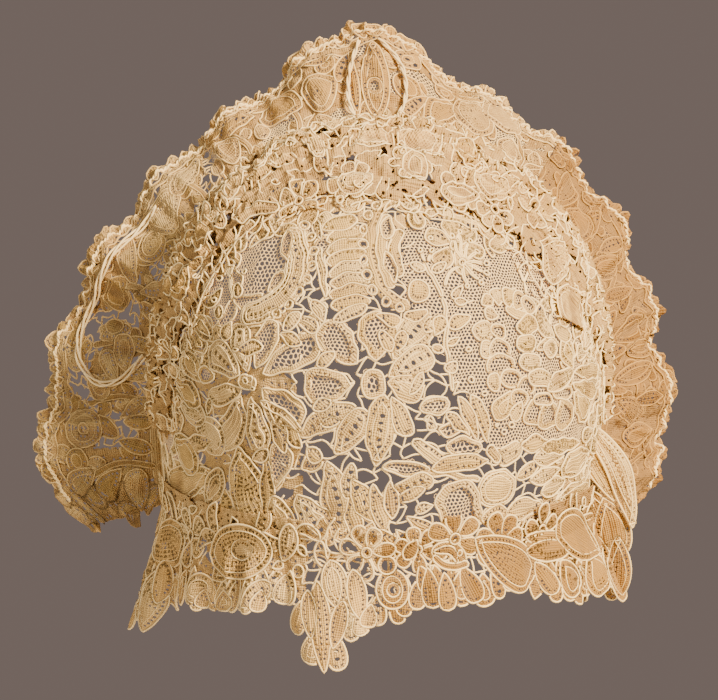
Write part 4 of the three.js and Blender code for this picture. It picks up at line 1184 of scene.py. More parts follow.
FLOUNCE_MOTIFS = [
    ("petal", "rim", 0.4, [(14.4, -15, 18.4, -26, 6.6)]),
    ("petal", "rim rows", 0.45, [(17.6, -16, 19.2, -30.5, 7.2), (24, -18, 24.8, -31.5, 7.2)]),
    ("petal", "rim", 0.5, [(31.2, -16.5, 36.8, -29.5, 8.4)]),
    ("oval", "round rim", 0.5, [(-2.4, -24, 10.4, -23, 14.5)]),
    ("oval", "ring", 0.6, [(1.6, -24, 7.2, -23.5, 5.5)]),
    ("oval", "heart", 0.4, [(-1.6, -15, 5.6, -15, 7)]),
    ("leaf", "rim", 0.4, [(20, -10.5, 30.4, -16.5, 3.4, 0.3)]),
    ("oval", "", 0.5, [(29.6, -11.5, 32, -12, 3)]),
    ("leaf", "rim rows", 0.5, [(60.8, -9.5, 95.2, -17, 6.5), (64.8, -16.5, 86.4, -19, 5.6)]),
    ("leaf", "rim", 0.45, [(68, -21.5, 64.8, -33.5, 7.5)]),
    ("petal", "rim", 0.4, [(73.6, -24, 72.8, -35.5, 5.6)]),
    ("petal", "rim", 0.45, [(80.8, -23.5, 78.4, -36, 7.2)]),
    ("petal", "rim", 0.4, [(93.6, -26.5, 97.6, -40, 11.1)]),
    ("leaf", "rim heart", 0.5, [(107.2, -33, 131.2, -29, 11.1)]),
    ("leaf", "rim", 0.45, [(80.8, -16, 125.6, -16.5, 14.8)]),
    ("leaf", "rim", 0.5, [(105.6, -21.5, 131.2, -16.5, 14.7), (118.4, -7, 131.2, 0, 7.7)]),
    ("leaf", "rim", 0.45, [(131.2, -22, 131.2, -35, 4.1)]),
    ("leaf", "rim rows", 0.5, [(-20, -13.5, -15.2, -31.5, 9.8)]),
    ("leaf", "rim vein", 0.55, [(-24.8, -21, -20, -53.5, 8.1)]),
    ("leaf", "rim", 0.45, [
        (-14.4, -27.5, -17.6, -45, 6.6), (-28.8, -25, -25.6, -42, 6.6),
        (-11.2, -16.5, -7.2, -35, 7.3),
    ]),
    ("petal", "rim rows", 0.4, [(-4, -29, -5.6, -37.5, 6.6)]),
    ("leaf", "rim ladder", 0.5, [(-44, -23.5, -54.4, -33.5, 8.1)]),
    ("petal", "rim", 0.45, [(-38.4, -20.5, -39.2, -31.5, 8)]),
    ("petal", "rim", 0.4, [(-47.2, -26.5, -48, -34.5, 5.7)]),
    ("oval", "round rim rows", 0.5, [(-85.6, -33.5, -71.2, -29.5, 11.2)]),
    ("petal", "rim", 0.4, [(-66.4, -30, -64, -37.5, 10.8)]),
    ("petal", "rim rows", 0.4, [(-76, -31.5, -76, -38.5, 6.4)]),
    ("petal", "rim", 0.4, [(-98.4, -33.5, -108, -44.5, 12.6)]),
    ("oval", "round rim rows", 0.5, [(-126.4, -26.5, -93.6, -17, 18.7)]),
    ("leaf", "rim rows", 0.5, [
        (-128, -9, -128, -25.5, 11.5), (-115.2, -33.5, -114.4, -57.5, 14.5),
    ]),
    ("leaf", "rim", 0.45, [(-109.6, -28, -111.2, -46, 8), (-128, 0, -128, -11, 14.9)]),
    ("leaf", "rim rows", 0.4, [
        (-63.2, -18.5, -72.8, -27.5, 8.9), (8.8, -13, 13.6, -5.5, 5.7), (5.6, -8.5, -4, -10, 5.7),
    ]),
    ("petal", "round rim rows", 0.55, [(36.8, -6.5, 64.8, -26, 17.8)]),
    ("leaf", "rim rows", 0.5, [(61.6, -15, 88, -18.5, 8.2)]),
    ("petal", "rim", 0.45, [(65.6, -19.5, 73.6, -32, 7.8)]),
    ("petal", "rim rows", 0.5, [(78.4, -21, 84.8, -34, 13.6), (100.8, -23, 109.6, -39.5, 16)]),
    ("petal", "rim rows", 0.6, [(118.4, -22.5, 126.4, -46.5, 19.3)]),
    ("leaf", "rim", 0.5, [(78.4, -6, 112, -25.5, 18)]),
    ("oval", "round rim rows", 0.7, [(-75.2, -18, -44, -11, 20.4)]),
    ("oval", "round rim", 0.5, [(-64, -15, -52.8, -12.5, 8.2)]),
    ("leaf", "rim rows", 0.4, [(-36, -1, -40, -16, 8, 0.05)]),
]
FLOUNCE_LINES = [
    ([(20, -12), (24, -15.5), (29.6, -16.5), (34.4, -15.5)], 2.7, "", 0.45),
]
HALO_MOTIFS = [
    ("oval", "round rim rows", 0.5, [(-197.8, 37.3, -197.8, 22.4, 14.6)]),
    ("oval", "ring", 0.7, [(-197.8, 32.1, -197.8, 27.6, 3.9)]),
    ("oval", "round rim", 0.45, [(-209.3, 37.3, -210.3, 28.4, 10.1)]),
    ("leaf", "rim ladder", 0.5, [(-194.9, 47.8, -183.4, 39.6, 10.8)]),
    ("petal", "rim", 0.45, [(-148.8, 20.2, -139.2, 32.1, 13.6)]),
    ("petal", "rim rows", 0.45, [(-172.9, 12.7, -157.5, 17.9, 9.4)]),
    ("oval", "round rim rows", 0.5, [(-122.9, 28.4, -115.2, 14.9, 15.9)]),
    ("petal", "round rim rows", 0.5, [(-109.5, 12.7, -102.8, 35.1, 19)]),
    ("leaf", "rim", 0.45, [(-136.4, 19.4, -122, 38.1, 8.3)]),
    ("leaf", "rim rows", 0.4, [(-186.3, 23.1, -174.8, 28.4, 10.2)]),
    ("petal", "rim", 0.4, [(-177.7, 16.4, -165.2, 23.9, 7.1)]),
    ("leaf", "rim rows", 0.35, [(-176.7, 44, -162.3, 45.5, 8.3)]),
    ("leaf", "rim", 0.35, [(-167.1, 37.3, -154.6, 43.3, 8.2)]),
    ("leaf", "rim vein", 0.35, [(-149.8, 41.8, -134.4, 39.6, 9.8)]),
    ("leaf", "rim rows", 0.4, [(-205.5, 42.5, -215.1, 49.3, 7)]),
    ("petal", "rim rows", 0.4, [(-213.2, 26.1, -219.9, 40.3, 8.5)]),
    ("petal", "rim", 0.45, [(-214.1, 15.7, -223.7, 29.1, 7.7)]),
    ("leaf", "rim", 0.45, [(-215.1, 8.2, -230.5, 16.4, 10.8)]),
    ("leaf", "rim rows", 0.4, [(-98, 26.1, -81.6, 35.8, 12.1)]),
    ("leaf", "rim", 0.4, [(-110.4, 37.3, -109.5, 50.8, 7.7)]),
    ("oval", "round", 0.5, [(-156.5, 26.9, -155.6, 18.7, 6.2)]),
    ("leaf", "rim ladder", 0.5, [(-73.9, 41.1, -52.8, 33.6, 14.9)]),
    ("petal", "round rim rows", 0.5, [(-31.7, 20.9, -49, 35.8, 17.4)]),
    ("petal", "round rim rows", 0.55, [(-15.4, 26.1, -29.8, 21.6, 19.8)]),
    ("leaf", "rim", 0.4, [(-55.7, 40.3, -38.4, 44.8, 11.9)]),
    ("petal", "rim rows", 0.4, [(-48, 50.8, -50.9, 51.5, 5.8)]),
    ("leaf", "rim ladder", 0.45, [(-15.4, 25.4, -8.6, 39.6, 6.1)]),
    ("leaf", "rim rows", 0.4, [(-16.3, 38.1, -28.8, 42.5, 7.5)]),
    ("leaf", "rim", 0.4, [(-65.3, 37.3, -76.8, 44, 11.9)]),
    ("petal", "rim", 0.4, [(-62.4, 25.4, -73, 23.1, 19.3)]),
    ("leaf", "rim rows", 0.6, [(0, 6.7, 1.9, 40.3, 11.5)]),
    ("oval", "heart", 0.75, [(-2.9, 20.2, 3.8, 20.9, 7.5)]),
    ("leaf", "rim", 0.45, [(-8.6, 10.4, -7.7, 34.3, 4.9)]),
    ("leaf", "rim ladder", 0.5, [(9.6, 38.8, 17.3, 34.3, 10.4)]),
    ("oval", "round rim", 0.5, [(8.6, 20.2, 18.2, 25.4, 12.7)]),
    ("leaf", "rim ladder", 0.5, [(9.6, 6.7, 21.1, 23.1, 5.7)]),
    ("petal", "round rim rows", 0.45, [(21.1, 23.1, 32.7, 15.7, 24.7)]),
    ("oval", "round rim rows", 0.5, [(33.6, 19.4, 48, 29.1, 22)]),
    ("petal", "rim", 0.4, [(44.2, 27.6, 57.6, 43.3, 19.3)]),
    ("leaf", "rim ladder", 0.45, [(29.8, 41.8, 43.2, 36.6, 13.4)]),
    ("leaf", "rim rows", 0.4, [(22.1, 41.8, 28.8, 40.3, 11.1)]),
    ("leaf", "rim", 0.4, [(53.8, 20.2, 67.2, 16.4, 13.4)]),
    ("leaf", "rim rows", 0.35, [(71.1, 6.7, 77.8, 23.1, 9)]),
    ("petal", "rim rows", 0.35, [(91.2, 11.2, 91.2, 34.3, 12.2)]),
    ("leaf", "rim", 0.35, [(109.5, 10.4, 107.6, 34.3, 8.5)]),
    ("petal", "rim", 0.35, [(96, 15.7, 112.4, 18.7, 14.9)]),
    ("oval", "round rim rows", 0.35, [(123.9, 9, 131.6, 31.3, 10.6)]),
    ("leaf", "rim rows", 0.3, [(139.2, 9.7, 142.1, 32.8, 6.8)]),
    ("petal", "rim", 0.35, [(158.4, 9.7, 155.6, 31.3, 10.9)]),
    ("leaf", "rim rows", 0.3, [(176.7, 9, 175.7, 38.8, 9.1)]),
    ("petal", "rim rows", 0.35, [(185.3, 9, 195.9, 25.4, 11.2)]),
    ("leaf", "rim", 0.3, [(203.6, 14.2, 200.7, 34.3, 10.7)]),
    ("leaf", "rim", 0.6, [(171.9, 47.8, 184.4, 51.5, 9.7)]),
    ("oval", "round rim", 0.3, [(165.2, 19.4, 169, 43.3, 8.7)]),
    ("leaf", "rim vein", 0.35, [(120, 20.2, 122.9, 41.1, 6.2)]),
    ("leaf", "rim vein", 0.3, [(187.3, 20.2, 187.3, 38.8, 5.8)]),
]
BAND_MOTIFS = [
    ("leaf", "rim rows", 0.5, [(-17.6, -80, -3.2, -80.8, 10.5)]),
    ("leaf", "rim", 0.5, [(8, -62.4, 20.8, -48.8, 16.3)]),
    ("petal", "rim rows", 0.5, [(24, -54.4, 35.2, -51.2, 19.3)]),
    ("oval", "round rim", 0.6, [(8, -74.4, 17.6, -72, 12.8)]),
    ("petal", "rim", 0.5, [(-11.2, -61.6, 3.2, -53.6, 16.3)]),
    ("leaf", "rim rows", 0.5, [(35.2, -68.8, 52.8, -60, 14.4)]),
    ("leaf", "rim", 0.5, [(24, -81.6, 40, -74.4, 10.4)]),
    ("leaf", "rim rows", 0.5, [(-60.8, -43.2, -49.6, -44.8, 16.3)]),
    ("petal", "rim", 0.5, [(-81.6, -53.6, -70.4, -51.2, 16.3)]),
    ("leaf", "rim rows", 0.5, [(-102.4, -54.4, -86.4, -54.4, 14.9)]),
    ("petal", "rim rows", 0.5, [(70.4, -68, 88, -64.8, 19.3)]),
    ("leaf", "rim", 0.5, [(91.2, -72.8, 113.6, -58.4, 16.3)]),
    ("oval", "ring", 0.8, [(-19.2, -86.4, -16, -87.2, 4), (-22.4, -89.6, -19.2, -89.6, 1.6)]),
]
BAND_LINES = [
    ([
        (-44.8, -51.2), (-41.6, -36.8), (-36.8, -29.6), (-28.8, -40), (-24, -50.4), (-22.4, -60.8),
        (-24, -64),
    ], 5.5, "rim ladder double", 0.7),
    ([(-60.8, -68), (-52.8, -69.6), (-43.2, -76.8)], 4.3, "rim", 0.6),
    ([(-108.8, -72.8), (-94.4, -73.6), (-80, -75.2)], 3.9, "rim", 0.6),
]


def draw_motifs(panel, runs):
    """Draws a table of motifs: runs of them that share a shape, a pattern and a height. Each motif
    goes from one place of the chart to another and has a width. A fifth number pushes its middle
    to the left of its way."""
    for shape, pattern, lift, rows in runs:
        for x0, y0, x1, y1, width, *bend in rows:
            a, b = np.array([x0, y0]), np.array([x1, y1])
            push = left_of(b - a) * (bend[0] if bend else 0)
            panel.motif([a, (a + b) / 2 + push, b], width, shape, pattern, lift)


def draw_tapes(panel, rows):
    """Draws a table of tapes and stems: their path, width, pattern and height."""
    for path, width, pattern, lift in rows:
        panel.motif(path, width, "tape", pattern, lift, count=44)


def put_shapes(name, *shapes):
    """An object from several lots of points and faces."""
    return put_mesh(name, *join_shapes(shapes))


def edge_over(panel):
    """How far inside the crown's edge each place of a crown panel is, with how far it lies from the
    middle of the back and at what turn."""
    x, y = panel.grid()
    far, turn = np.hypot(x, y), np.arctan2(x, y)
    return edge_reach(turn) / PER_MM - far, far, turn


def make_crown():
    """The crown's back and sides as fine lace, and what lies under the band as coarser lace."""
    panel = Panel(crown_lay, (-146, 146), (-80, 98), pitch=0.46, seed=11)
    panel.folds = lambda x, y: 0.35 - 0.7 * crown_pucker(x, y)
    for outline, kind in CROWN_NETS:
        panel.ground(outline, kind)
    strew(panel, spacing=25, size=12.5, allowed=lambda x, y: math.hypot(x * 0.9, y) > 70)
    draw_tapes(panel, CROWN_LINES)
    draw_motifs(panel, CROWN_MOTIFS)
    fill_gaps(panel, spacing=5.2, share=0.42, size=6.2, lift=0.1)
    x, y = panel.grid()
    close = (x + 0.08 * y < -29) | (x > 62) | (y > 61) | ((x > 44) & (y > 18))
    bare = (panel.cover < 0) & (panel.net == 0) & close
    cloth_ground(panel, bare, slits=0.34, slit_length=1.7, pins=2.7, seed=15, lift=0.0)
    edge, far, turn = edge_over(panel)
    hem = 1.6 - np.abs(edge - 1.6) - np.where(np.abs(turn) > np.radians(108), 1.1, 0)
    panel.cover = np.minimum(np.maximum(panel.cover, hem), edge)
    panel.height = np.where(hem > panel.rim, 0.2, panel.height)
    seen = (far < band_back(turn) + 9) | (np.abs(turn) > np.radians(100))
    seen &= edge > -1
    cloth = [
        lace_cloth(panel, "crown_lace_left", seen & (x < -34)),
        lace_cloth(panel, "crown_lace_middle", seen & (x >= -34) & (x < 41)),
        lace_cloth(panel, "crown_lace_right", seen & (x >= 41)),
    ]
    cords = put_shapes("crown_outline_cords", cord_shapes(panel, seen))
    net = put_shapes(
        "crown_net",
        net_shapes(panel, kind=1, pitch=1.4, strand=0.36, height=0.15, cells=seen),
        net_shapes(panel, kind=2, pitch=1.85, strand=0.42, height=0.2, cells=seen),
    )
    bars = put_shapes("crown_bars", bar_shapes(panel, spacing=4.6, seed=12, cells=seen))

    coarse = Panel(crown_lay, (-165, 165), (-80, 190), pitch=1.35, seed=13)
    coarse.motif([(-160, 60), (0, 175), (160, 60)], 9, "tape", "", lift=0.1, cord=0)
    strew(coarse, 24, 13.5, allowed=lambda x, y: True, patterns=("ladder", "", "vein"))
    fill_gaps(coarse, spacing=6, share=0.8, size=7)
    edge, far, turn = edge_over(coarse)
    coarse.cover = np.minimum(np.maximum(coarse.cover, 2 - np.abs(edge - 2)), edge)
    hidden = (far > band_back(turn) + 6) & (np.abs(turn) <= np.radians(101)) & (edge > -2)
    under = lace_cloth(coarse, "crown_under_band", hidden)
    ties = put_shapes("crown_under_bars", bar_shapes(coarse, spacing=8, seed=14, cells=hidden))
    return cloth, [cords, net, bars, under, ties]


HALO_THIRDS = (("left", -219, -77), ("top", -77, 77), ("right", 77, 219))


def make_halo():
    """The halo frill: net ground between flowers, leaves and wheels, a taped seam, and an edge of
    small petals, of which no two reach quite as far."""
    panel = Panel(halo_lay, (-232, 232), (-0.5, 54), pitch=0.52, seed=51)
    panel.folds = lambda x, y: 0.45 - 0.3 * halo_crinkle(x, y)
    draw = panel.draw
    panel.ground([(-77, 1.5), (219, 1.5), (219, 45), (-77, 45)], 1)
    x, y = panel.grid()
    open_left = 0.36 * np.clip((-60 - x) / 40, 0, 1)
    closed_right = np.clip((x - 60) / 60, 0, 1.2)
    worn = (waves(x, y, 30, 57) > -0.3 + open_left - closed_right) | (np.abs(x) > 205)
    worn &= (y > 1) & (y < 45) & (np.abs(x) < 230)
    cloth_ground(panel, worn, slits=0.72, slit_length=1.6, pins=3.4, seed=58)
    panel.motif([(-231, 1.6), (0, 1.6), (231, 1.6)], 4.2, "tape", "", lift=0.1, count=300)
    for k in range(-9, 10):
        x = k * 25.0 + draw.uniform(-3, 3)
        panel.spray([(x + 12, 2), (x + 15, 16), (x + 10, 30)], 8.5, 2, 5.5, 0.25, "rim")
        for dx, dy, up in ((-9, 3, 13), (4, 2, 12), (-2, 16, 12), (-11, 34, 9)):
            a = draw.uniform(-0.9, 0.9)
            path = [(x + dx, dy), (x + dx + math.sin(a) * up, dy + up)]
            pattern = ("rim", "rim rows", "rim vein")[int(draw.integers(3))]
            panel.motif(path, 6.8, "leaf", pattern, 0.25)
        panel.disc(x + 4, 33 + draw.uniform(-3, 3), 8.5, "round rim", 0.35)
    draw_motifs(panel, HALO_MOTIFS)
    edge = [
        (x, 41.5 + 1.6 * math.sin(x / 7.0) + 0.8 * math.sin(x / 2.9 + 1))
        for x in range(-231, 232, 6)
    ]
    panel.motif(edge, 4.0, "tape", "rim", lift=0.35, count=420)
    x = -230.0
    while x < 230:
        long, wide, slant = draw.uniform(5.2, 8.8), draw.uniform(4.2, 6.4), draw.uniform(-1.8, 1.8)
        lift = 0.3 + draw.uniform(0, 0.3)
        panel.motif([(x, 42.0), (x + slant, 43 + long)], wide, "petal", "rim", lift)
        if draw.random() < 0.7:
            panel.disc(x + wide * 0.45, 46.5 + draw.uniform(0, 2.2), 2.2, "", 0.3)
        x += wide * 0.82
    x, y = panel.grid()
    cloth = [
        lace_cloth(panel, "halo_lace_left", x < -77),
        lace_cloth(panel, "halo_lace_top", (x >= -77) & (x < 77)),
        lace_cloth(panel, "halo_lace_right", x >= 77),
    ]
    trim = []
    for side, low, high in HALO_THIRDS:
        cells = (x >= low) & (x < high)
        trim.append(put_shapes("halo_outline_cords_" + side, cord_shapes(panel, cells)))
        if side == "left":
            # Open places are tied with bars here, which stop short of the outer edge.
            inner = cells & (y > 2) & (y < 41)
            between = bar_shapes(panel, 3.4, seed=53, radius=0.34, height=0.2, cells=inner)
        else:
            between = net_shapes(panel, 1, pitch=1.3, strand=0.36, height=0.1, cells=cells)
        trim.append(put_shapes("halo_net_" + side, between))
    return cloth, trim


def make_flounce():
    """The nape flounce: leaves and flowers tied by bars, ending in petals that hang to the hem."""
    panel = Panel(flounce_lay, (-128, 131), (-62, 3), pitch=0.46, seed=61)
    panel.folds = lambda x, y: 0.35 - 0.45 * flounce_fold(x, y)
    draw = panel.draw

    def hang_over(x):
        """How far the flounce hangs at a place along its chart."""
        return hang_at(x / FLOUNCE_MM)

    x = -127.0
    while x < 130:
        wide, slant, long = draw.uniform(6, 9.5), draw.uniform(-3, 3), draw.uniform(11, 15)
        tip = hang_over(x) - draw.uniform(-0.6, 2.2)
        pattern = ("rim ladder", "rim rows", "rim vein")[int(draw.integers(3))]
        lift = 0.3 + draw.uniform(0, 0.25)
        panel.motif([(x, -(tip - long)), (x + slant, -tip)], wide, "petal", pattern, lift)
        x += wide * 0.8
    strew(panel, 20, 10.5, allowed=lambda x, y: 4 < -y < hang_over(x) - 13)
    draw_motifs(panel, FLOUNCE_MOTIFS)
    draw_tapes(panel, FLOUNCE_LINES)
    fill_gaps(panel, 5.0, 0.7, 5.6, allowed=lambda x, y: 3 < -y < hang_over(x) - 8)
    x, y = panel.grid()
    drop = hang_over(panel.xs)[:, None]
    bare = (panel.cover < 0) & (-y < drop - 9) & (y < 1) & ((x < -30) | (x > 62))
    cloth_ground(panel, bare, slits=0.4, slit_length=1.7, pins=2.7, seed=65, lift=0.0)
    cloth = [
        lace_cloth(panel, "flounce_lace_left", x < 0),
        lace_cloth(panel, "flounce_lace_right", x >= 0),
    ]
    cords = put_shapes("flounce_outline_cords", cord_shapes(panel))
    near_cloth = (-y < drop - 3) & (-y > 3)
    bars = put_shapes("flounce_bars", bar_shapes(panel, spacing=4.4, seed=62, cells=near_cloth))
    return cloth, [cords, bars]


def make_band():
    """The ruched band: a strip of the same lace, gathered into ridges over the top of the crown."""
    panel = Panel(band_lay, (-158, 158), (-93, 0.4), pitch=0.6, seed=71)
    panel.folds = lambda x, y: 0.5 - 0.33 * band_ridge(x, y)
    x, y = panel.grid()
    width = smooth_table(BAND, 1, panel.xs / BAND_MM)[:, None]
    ragged = width - 1.5 + 3.5 * waves(x, y, 9, 75)
    on_crown = (-y < ragged) & (y < 0)
    cloth_ground(panel, on_crown, slits=0.46, slit_length=1.9, pins=2.6, seed=74)

    def on_band(x, y):
        """Whether a place is on the band, or no more than a millimetre below it."""
        return 2 < -y < float(smooth_table(BAND, 1, x / BAND_MM)) + 1

    strew(panel, 21, 9.5, on_band, patterns=("rim ladder", "rim rows", "rim", "rim"))
    draw_motifs(panel, BAND_MOTIFS)
    draw_tapes(panel, BAND_LINES)
    seam = 1.3 - np.abs(-y - 1.3)
    panel.height = np.where(seam > panel.rim, 0.1, panel.height)
    panel.cover = np.minimum(np.maximum(panel.cover, seam), 0.4 - y)
    # Its motifs reach past the lower edge, furthest at the right, where the edge meets the crown.
    region = -y < width + 6 + 9 * np.exp(-(((x - 93) / 16) ** 2))
    cloth = [
        lace_cloth(panel, "band_lace_left", region & (x < 0)),
        lace_cloth(panel, "band_lace_right", region & (x >= 0)),
    ]
    cords = put_shapes("band_outline_cords", cord_shapes(panel, region))
    bars = put_shapes(
        "band_bars_and_curls",
        bar_shapes(panel, spacing=4.2, seed=72, height=0.2, cells=region & (-y > 2)),
        loop_shapes(
            panel, 130, (-y > 3) & (-y < width), size=2.6, lift=1.3, seed=73, radius=0.3
        ),
    )
    return cloth, [cords, bars]


# The middle line of the cloth that falls over the right corner.
CORNER_LINE = np.array([
    (80.0, -24.0, -108.5), (88.5, -30.5, -123.0), (94.0, -31.0, -138.0), (97.0, -29.0, -152.0),
    (98.0, -27.0, -166.0), (97.0, -26.0, -179.0),
])


def corner_fold(x, y):
    """The folds that run down the cloth of the right corner."""
    sharp = 1.2 * (creases(x, y * 0.45, 8, 96) - 0.5) * np.clip(y / 30, 0, 1)
    return 0.7 * waves(x, y * 0.3, 6, 95) + sharp


def corner_lay(x, y, h):
    """The cloth that falls over the right corner: across it, and down its middle line from the
    crown's edge; its sides curl back and folds run down it."""
    line = catmull_rom(CORNER_LINE, 80)
    walk = walk_along(line)
    mid = np.stack([np.interp(np.clip(y, 0, walk[-1]), walk, line[:, k]) for k in range(3)], -1)
    across, out = np.array([0.90, 0.28, 0.20]), np.array([0.25, -0.95, 0.1])
    depth = h + corner_fold(x, y) - 0.015 * x**2
    return mid + across * x[..., None] + out * depth[..., None]


def make_corner():
    """The large leaf over the right corner, and the crumpled cloth and hem petals below it."""
    panel = Panel(corner_lay, (-26, 12), (-2, 76), pitch=0.5, seed=93)
    panel.folds = lambda x, y: 0.4 - 0.35 * corner_fold(x, y)
    for x0, y0, x1, y1, width, pattern in (
        (-16, 22, -13, 46, 17, "rim"), (-8, 30, -7, 56, 15, "rim rows"),
        (-21, 40, -20, 62, 11, "rim"), (-14, 44, -15, 68, 12, "rim rows"),
        (-6, 46, -7, 73, 11, "rim rows"),
    ):
        panel.motif([(x0, y0), (x1, y1)], width, "petal", pattern, -1.4)
    back = lace_cloth(panel, "corner_cloth")
    leaf = Panel(corner_lay, (-12, 12), (-2, 48), pitch=0.46, seed=94)
    leaf.folds = panel.folds
    leaf.motif([(-6, 6), (-7, 19), (-4, 33)], 6.5, "leaf", "rim rows", -0.4)
    path = [(-0.5, 0), (1.2, 20), (0, 45)]
    leaf.motif(path, 10.5, "leaf", "rim rows vein", lift=0.8, cord=0.45, count=60)
    front = lace_cloth(leaf, "corner_leaf")
    cords = put_shapes("corner_leaf_cords", cord_shapes(panel), cord_shapes(leaf))
    return [front, back], [cords]


# Cords and looks.


def route_points(rows, steps):
    """A laid cord's centre line, in millimetres."""
    at = np.linspace(0, 1, steps + 1)
    return halo_place(*(smooth_table(rows, column, at) for column in (1, 2, 3)))


def plied(points, diameter, plies, lay, slack=1.0):
    """A cord twisted from strands: each strand runs round the centre line once every lay
    millimetres, at the distance that makes the whole cord its diameter. Slack thins the strands."""
    walk = walk_along(points)
    tangent = unit(np.gradient(points, axis=0))
    side = unit(np.cross(tangent, np.array([0.03, 1.0, 0.11])))
    up = np.cross(side, tangent)
    across = diameter * 1.3
    strand = across / 2 / (1 + 1 / math.sin(math.pi / plies)) / slack
    off = across / 2 - strand
    shapes = []
    for k in range(plies):
        angle = walk / lay * 2 * np.pi + k * 2 * np.pi / plies
        line = points + off * (side * np.cos(angle)[:, None] + up * np.sin(angle)[:, None])
        shapes.append(tube(line, up, chains(len(line), len(line)), strand * 1.05, 7))
    return join_shapes(shapes)


def lace_group():
    """The look of old lace: colour that drifts from light to deep in wide soft clouds and fine
    specks, stains that gather in patches, painted shade between threads, in folds and along
    edges, and the height of a plain weave."""
    group = bpy.data.node_groups.new("old lace", "ShaderNodeTree")
    for name, kind, default in (
        ("Light", "NodeSocketColor", (0.85, 0.75, 0.58, 1)),
        ("Deep", "NodeSocketColor", (0.6, 0.5, 0.35, 1)),
        ("Stain", "NodeSocketColor", (0.5, 0.3, 0.12, 1)), ("Stained", "NodeSocketFloat", 0.3),
        ("Shadow", "NodeSocketColor", (0.3, 0.17, 0.06, 1)), ("Thread", "NodeSocketFloat", 0.08),
    ):
        socket = group.interface.new_socket(name, in_out="INPUT", socket_type=kind)
        socket.default_value = default
    for name, kind in (("Color", "Color"), ("Roughness", "Float"), ("Height", "Float")):
        group.interface.new_socket(name, in_out="OUTPUT", socket_type="NodeSocket" + kind)
    nodes, links = group.nodes, group.links
    enter, leave = nodes.new("NodeGroupInput"), nodes.new("NodeGroupOutput")
    place = nodes.new("ShaderNodeTexCoord")

    def mark(name):
        """One of the values that put_mesh gives to each point."""
        node = nodes.new("ShaderNodeAttribute")
        node.attribute_name = name
        return node.outputs["Fac"]

    def noise(scale, detail, rough=0.5):
        node = nodes.new("ShaderNodeTexNoise")
        node.inputs["Scale"].default_value = scale
        node.inputs["Detail"].default_value = detail
        node.inputs["Roughness"].default_value = rough
        links.new(place.outputs["Object"], node.inputs["Vector"])
        return node.outputs["Fac"]

    def math_node(kind, a, b=None, clamp=False):
        node = nodes.new("ShaderNodeMath")
        node.operation, node.use_clamp = kind, clamp
        for k, value in enumerate((a, b)):
            if value is None:
                continue
            if isinstance(value, (int, float)):
                node.inputs[k].default_value = value
            else:
                links.new(value, node.inputs[k])
        return node.outputs[0]

    def ramp(value, low, high):
        node = nodes.new("ShaderNodeMapRange")
        node.interpolation_type = "SMOOTHSTEP"
        node.inputs["From Min"].default_value = low
        node.inputs["From Max"].default_value = high
        links.new(value, node.inputs["Value"])
        return node.outputs["Result"]

    def mix(amount, a, b, blend="MIX"):
        node = nodes.new("ShaderNodeMix")
        node.data_type, node.blend_type = "RGBA", blend
        links.new(amount, node.inputs["Factor"])
        links.new(a, node.inputs["A"])
        links.new(b, node.inputs["B"])
        return node.outputs["Result"]

    soft = math_node("MULTIPLY", noise(38, 3), 0.6)
    clouds = math_node("ADD", soft, math_node("MULTIPLY", mark("tone"), 0.4))
    specks = ramp(noise(900, 2), 0.35, 0.75)
    light_specks = math_node("MULTIPLY", specks, 0.25)
    shade = math_node("ADD", ramp(clouds, 0.25, 0.75), light_specks, True)
    base = mix(shade, enter.outputs["Light"], enter.outputs["Deep"])
    patch = ramp(noise(21, 4, 0.65), 0.52, 0.72)
    patch = math_node("MULTIPLY", patch, enter.outputs["Stained"], True)
    aged = mix(patch, base, enter.outputs["Stain"])
    rough = math_node("ADD", math_node("MULTIPLY", specks, 0.15), 0.78)
    links.new(rough, leave.inputs["Roughness"])
    flat = nodes.new("ShaderNodeUVMap")
    flat.uv_map = "cloth"
    split = nodes.new("ShaderNodeSeparateXYZ")
    links.new(flat.outputs["UV"], split.inputs["Vector"])
    rows = []
    for axis, height in (("X", 0.3), ("Y", 0.45)):
        size = math_node("DIVIDE", split.outputs[axis], enter.outputs["Thread"])
        wave = math_node("SINE", math_node("MULTIPLY", size, 2 * math.pi))
        rows.append(math_node("MULTIPLY", wave, height))
    weave = math_node("ADD", *rows)
    between = ramp(math_node("MULTIPLY", weave, -1.0), -0.1, 0.75)
    # Between threads, in folds and along edges the cloth lies in shadow; thread isn't laid cloth.
    edge = math_node("MULTIPLY", ramp(mark("depth"), 1.2, 0.4), 0.6)
    dark = math_node("MULTIPLY", ramp(mark("fold"), 0.2, 0.95), 0.7)
    dark = math_node("ADD", dark, math_node("MULTIPLY", between, 0.7), True)
    dark = math_node("MULTIPLY", math_node("MAXIMUM", dark, edge), mark("laid"), True)
    links.new(mix(dark, aged, enter.outputs["Shadow"]), leave.inputs["Color"])
    fuzz = math_node("MULTIPLY", noise(1500, 3, 0.7), 0.8)
    links.new(math_node("ADD", weave, fuzz), leave.inputs["Height"])
    return group


LACE = lace_group()
SHADOW, SHEEN, WEAVE_DEPTH = (0.36, 0.21, 0.08), 0.045, 0.0003


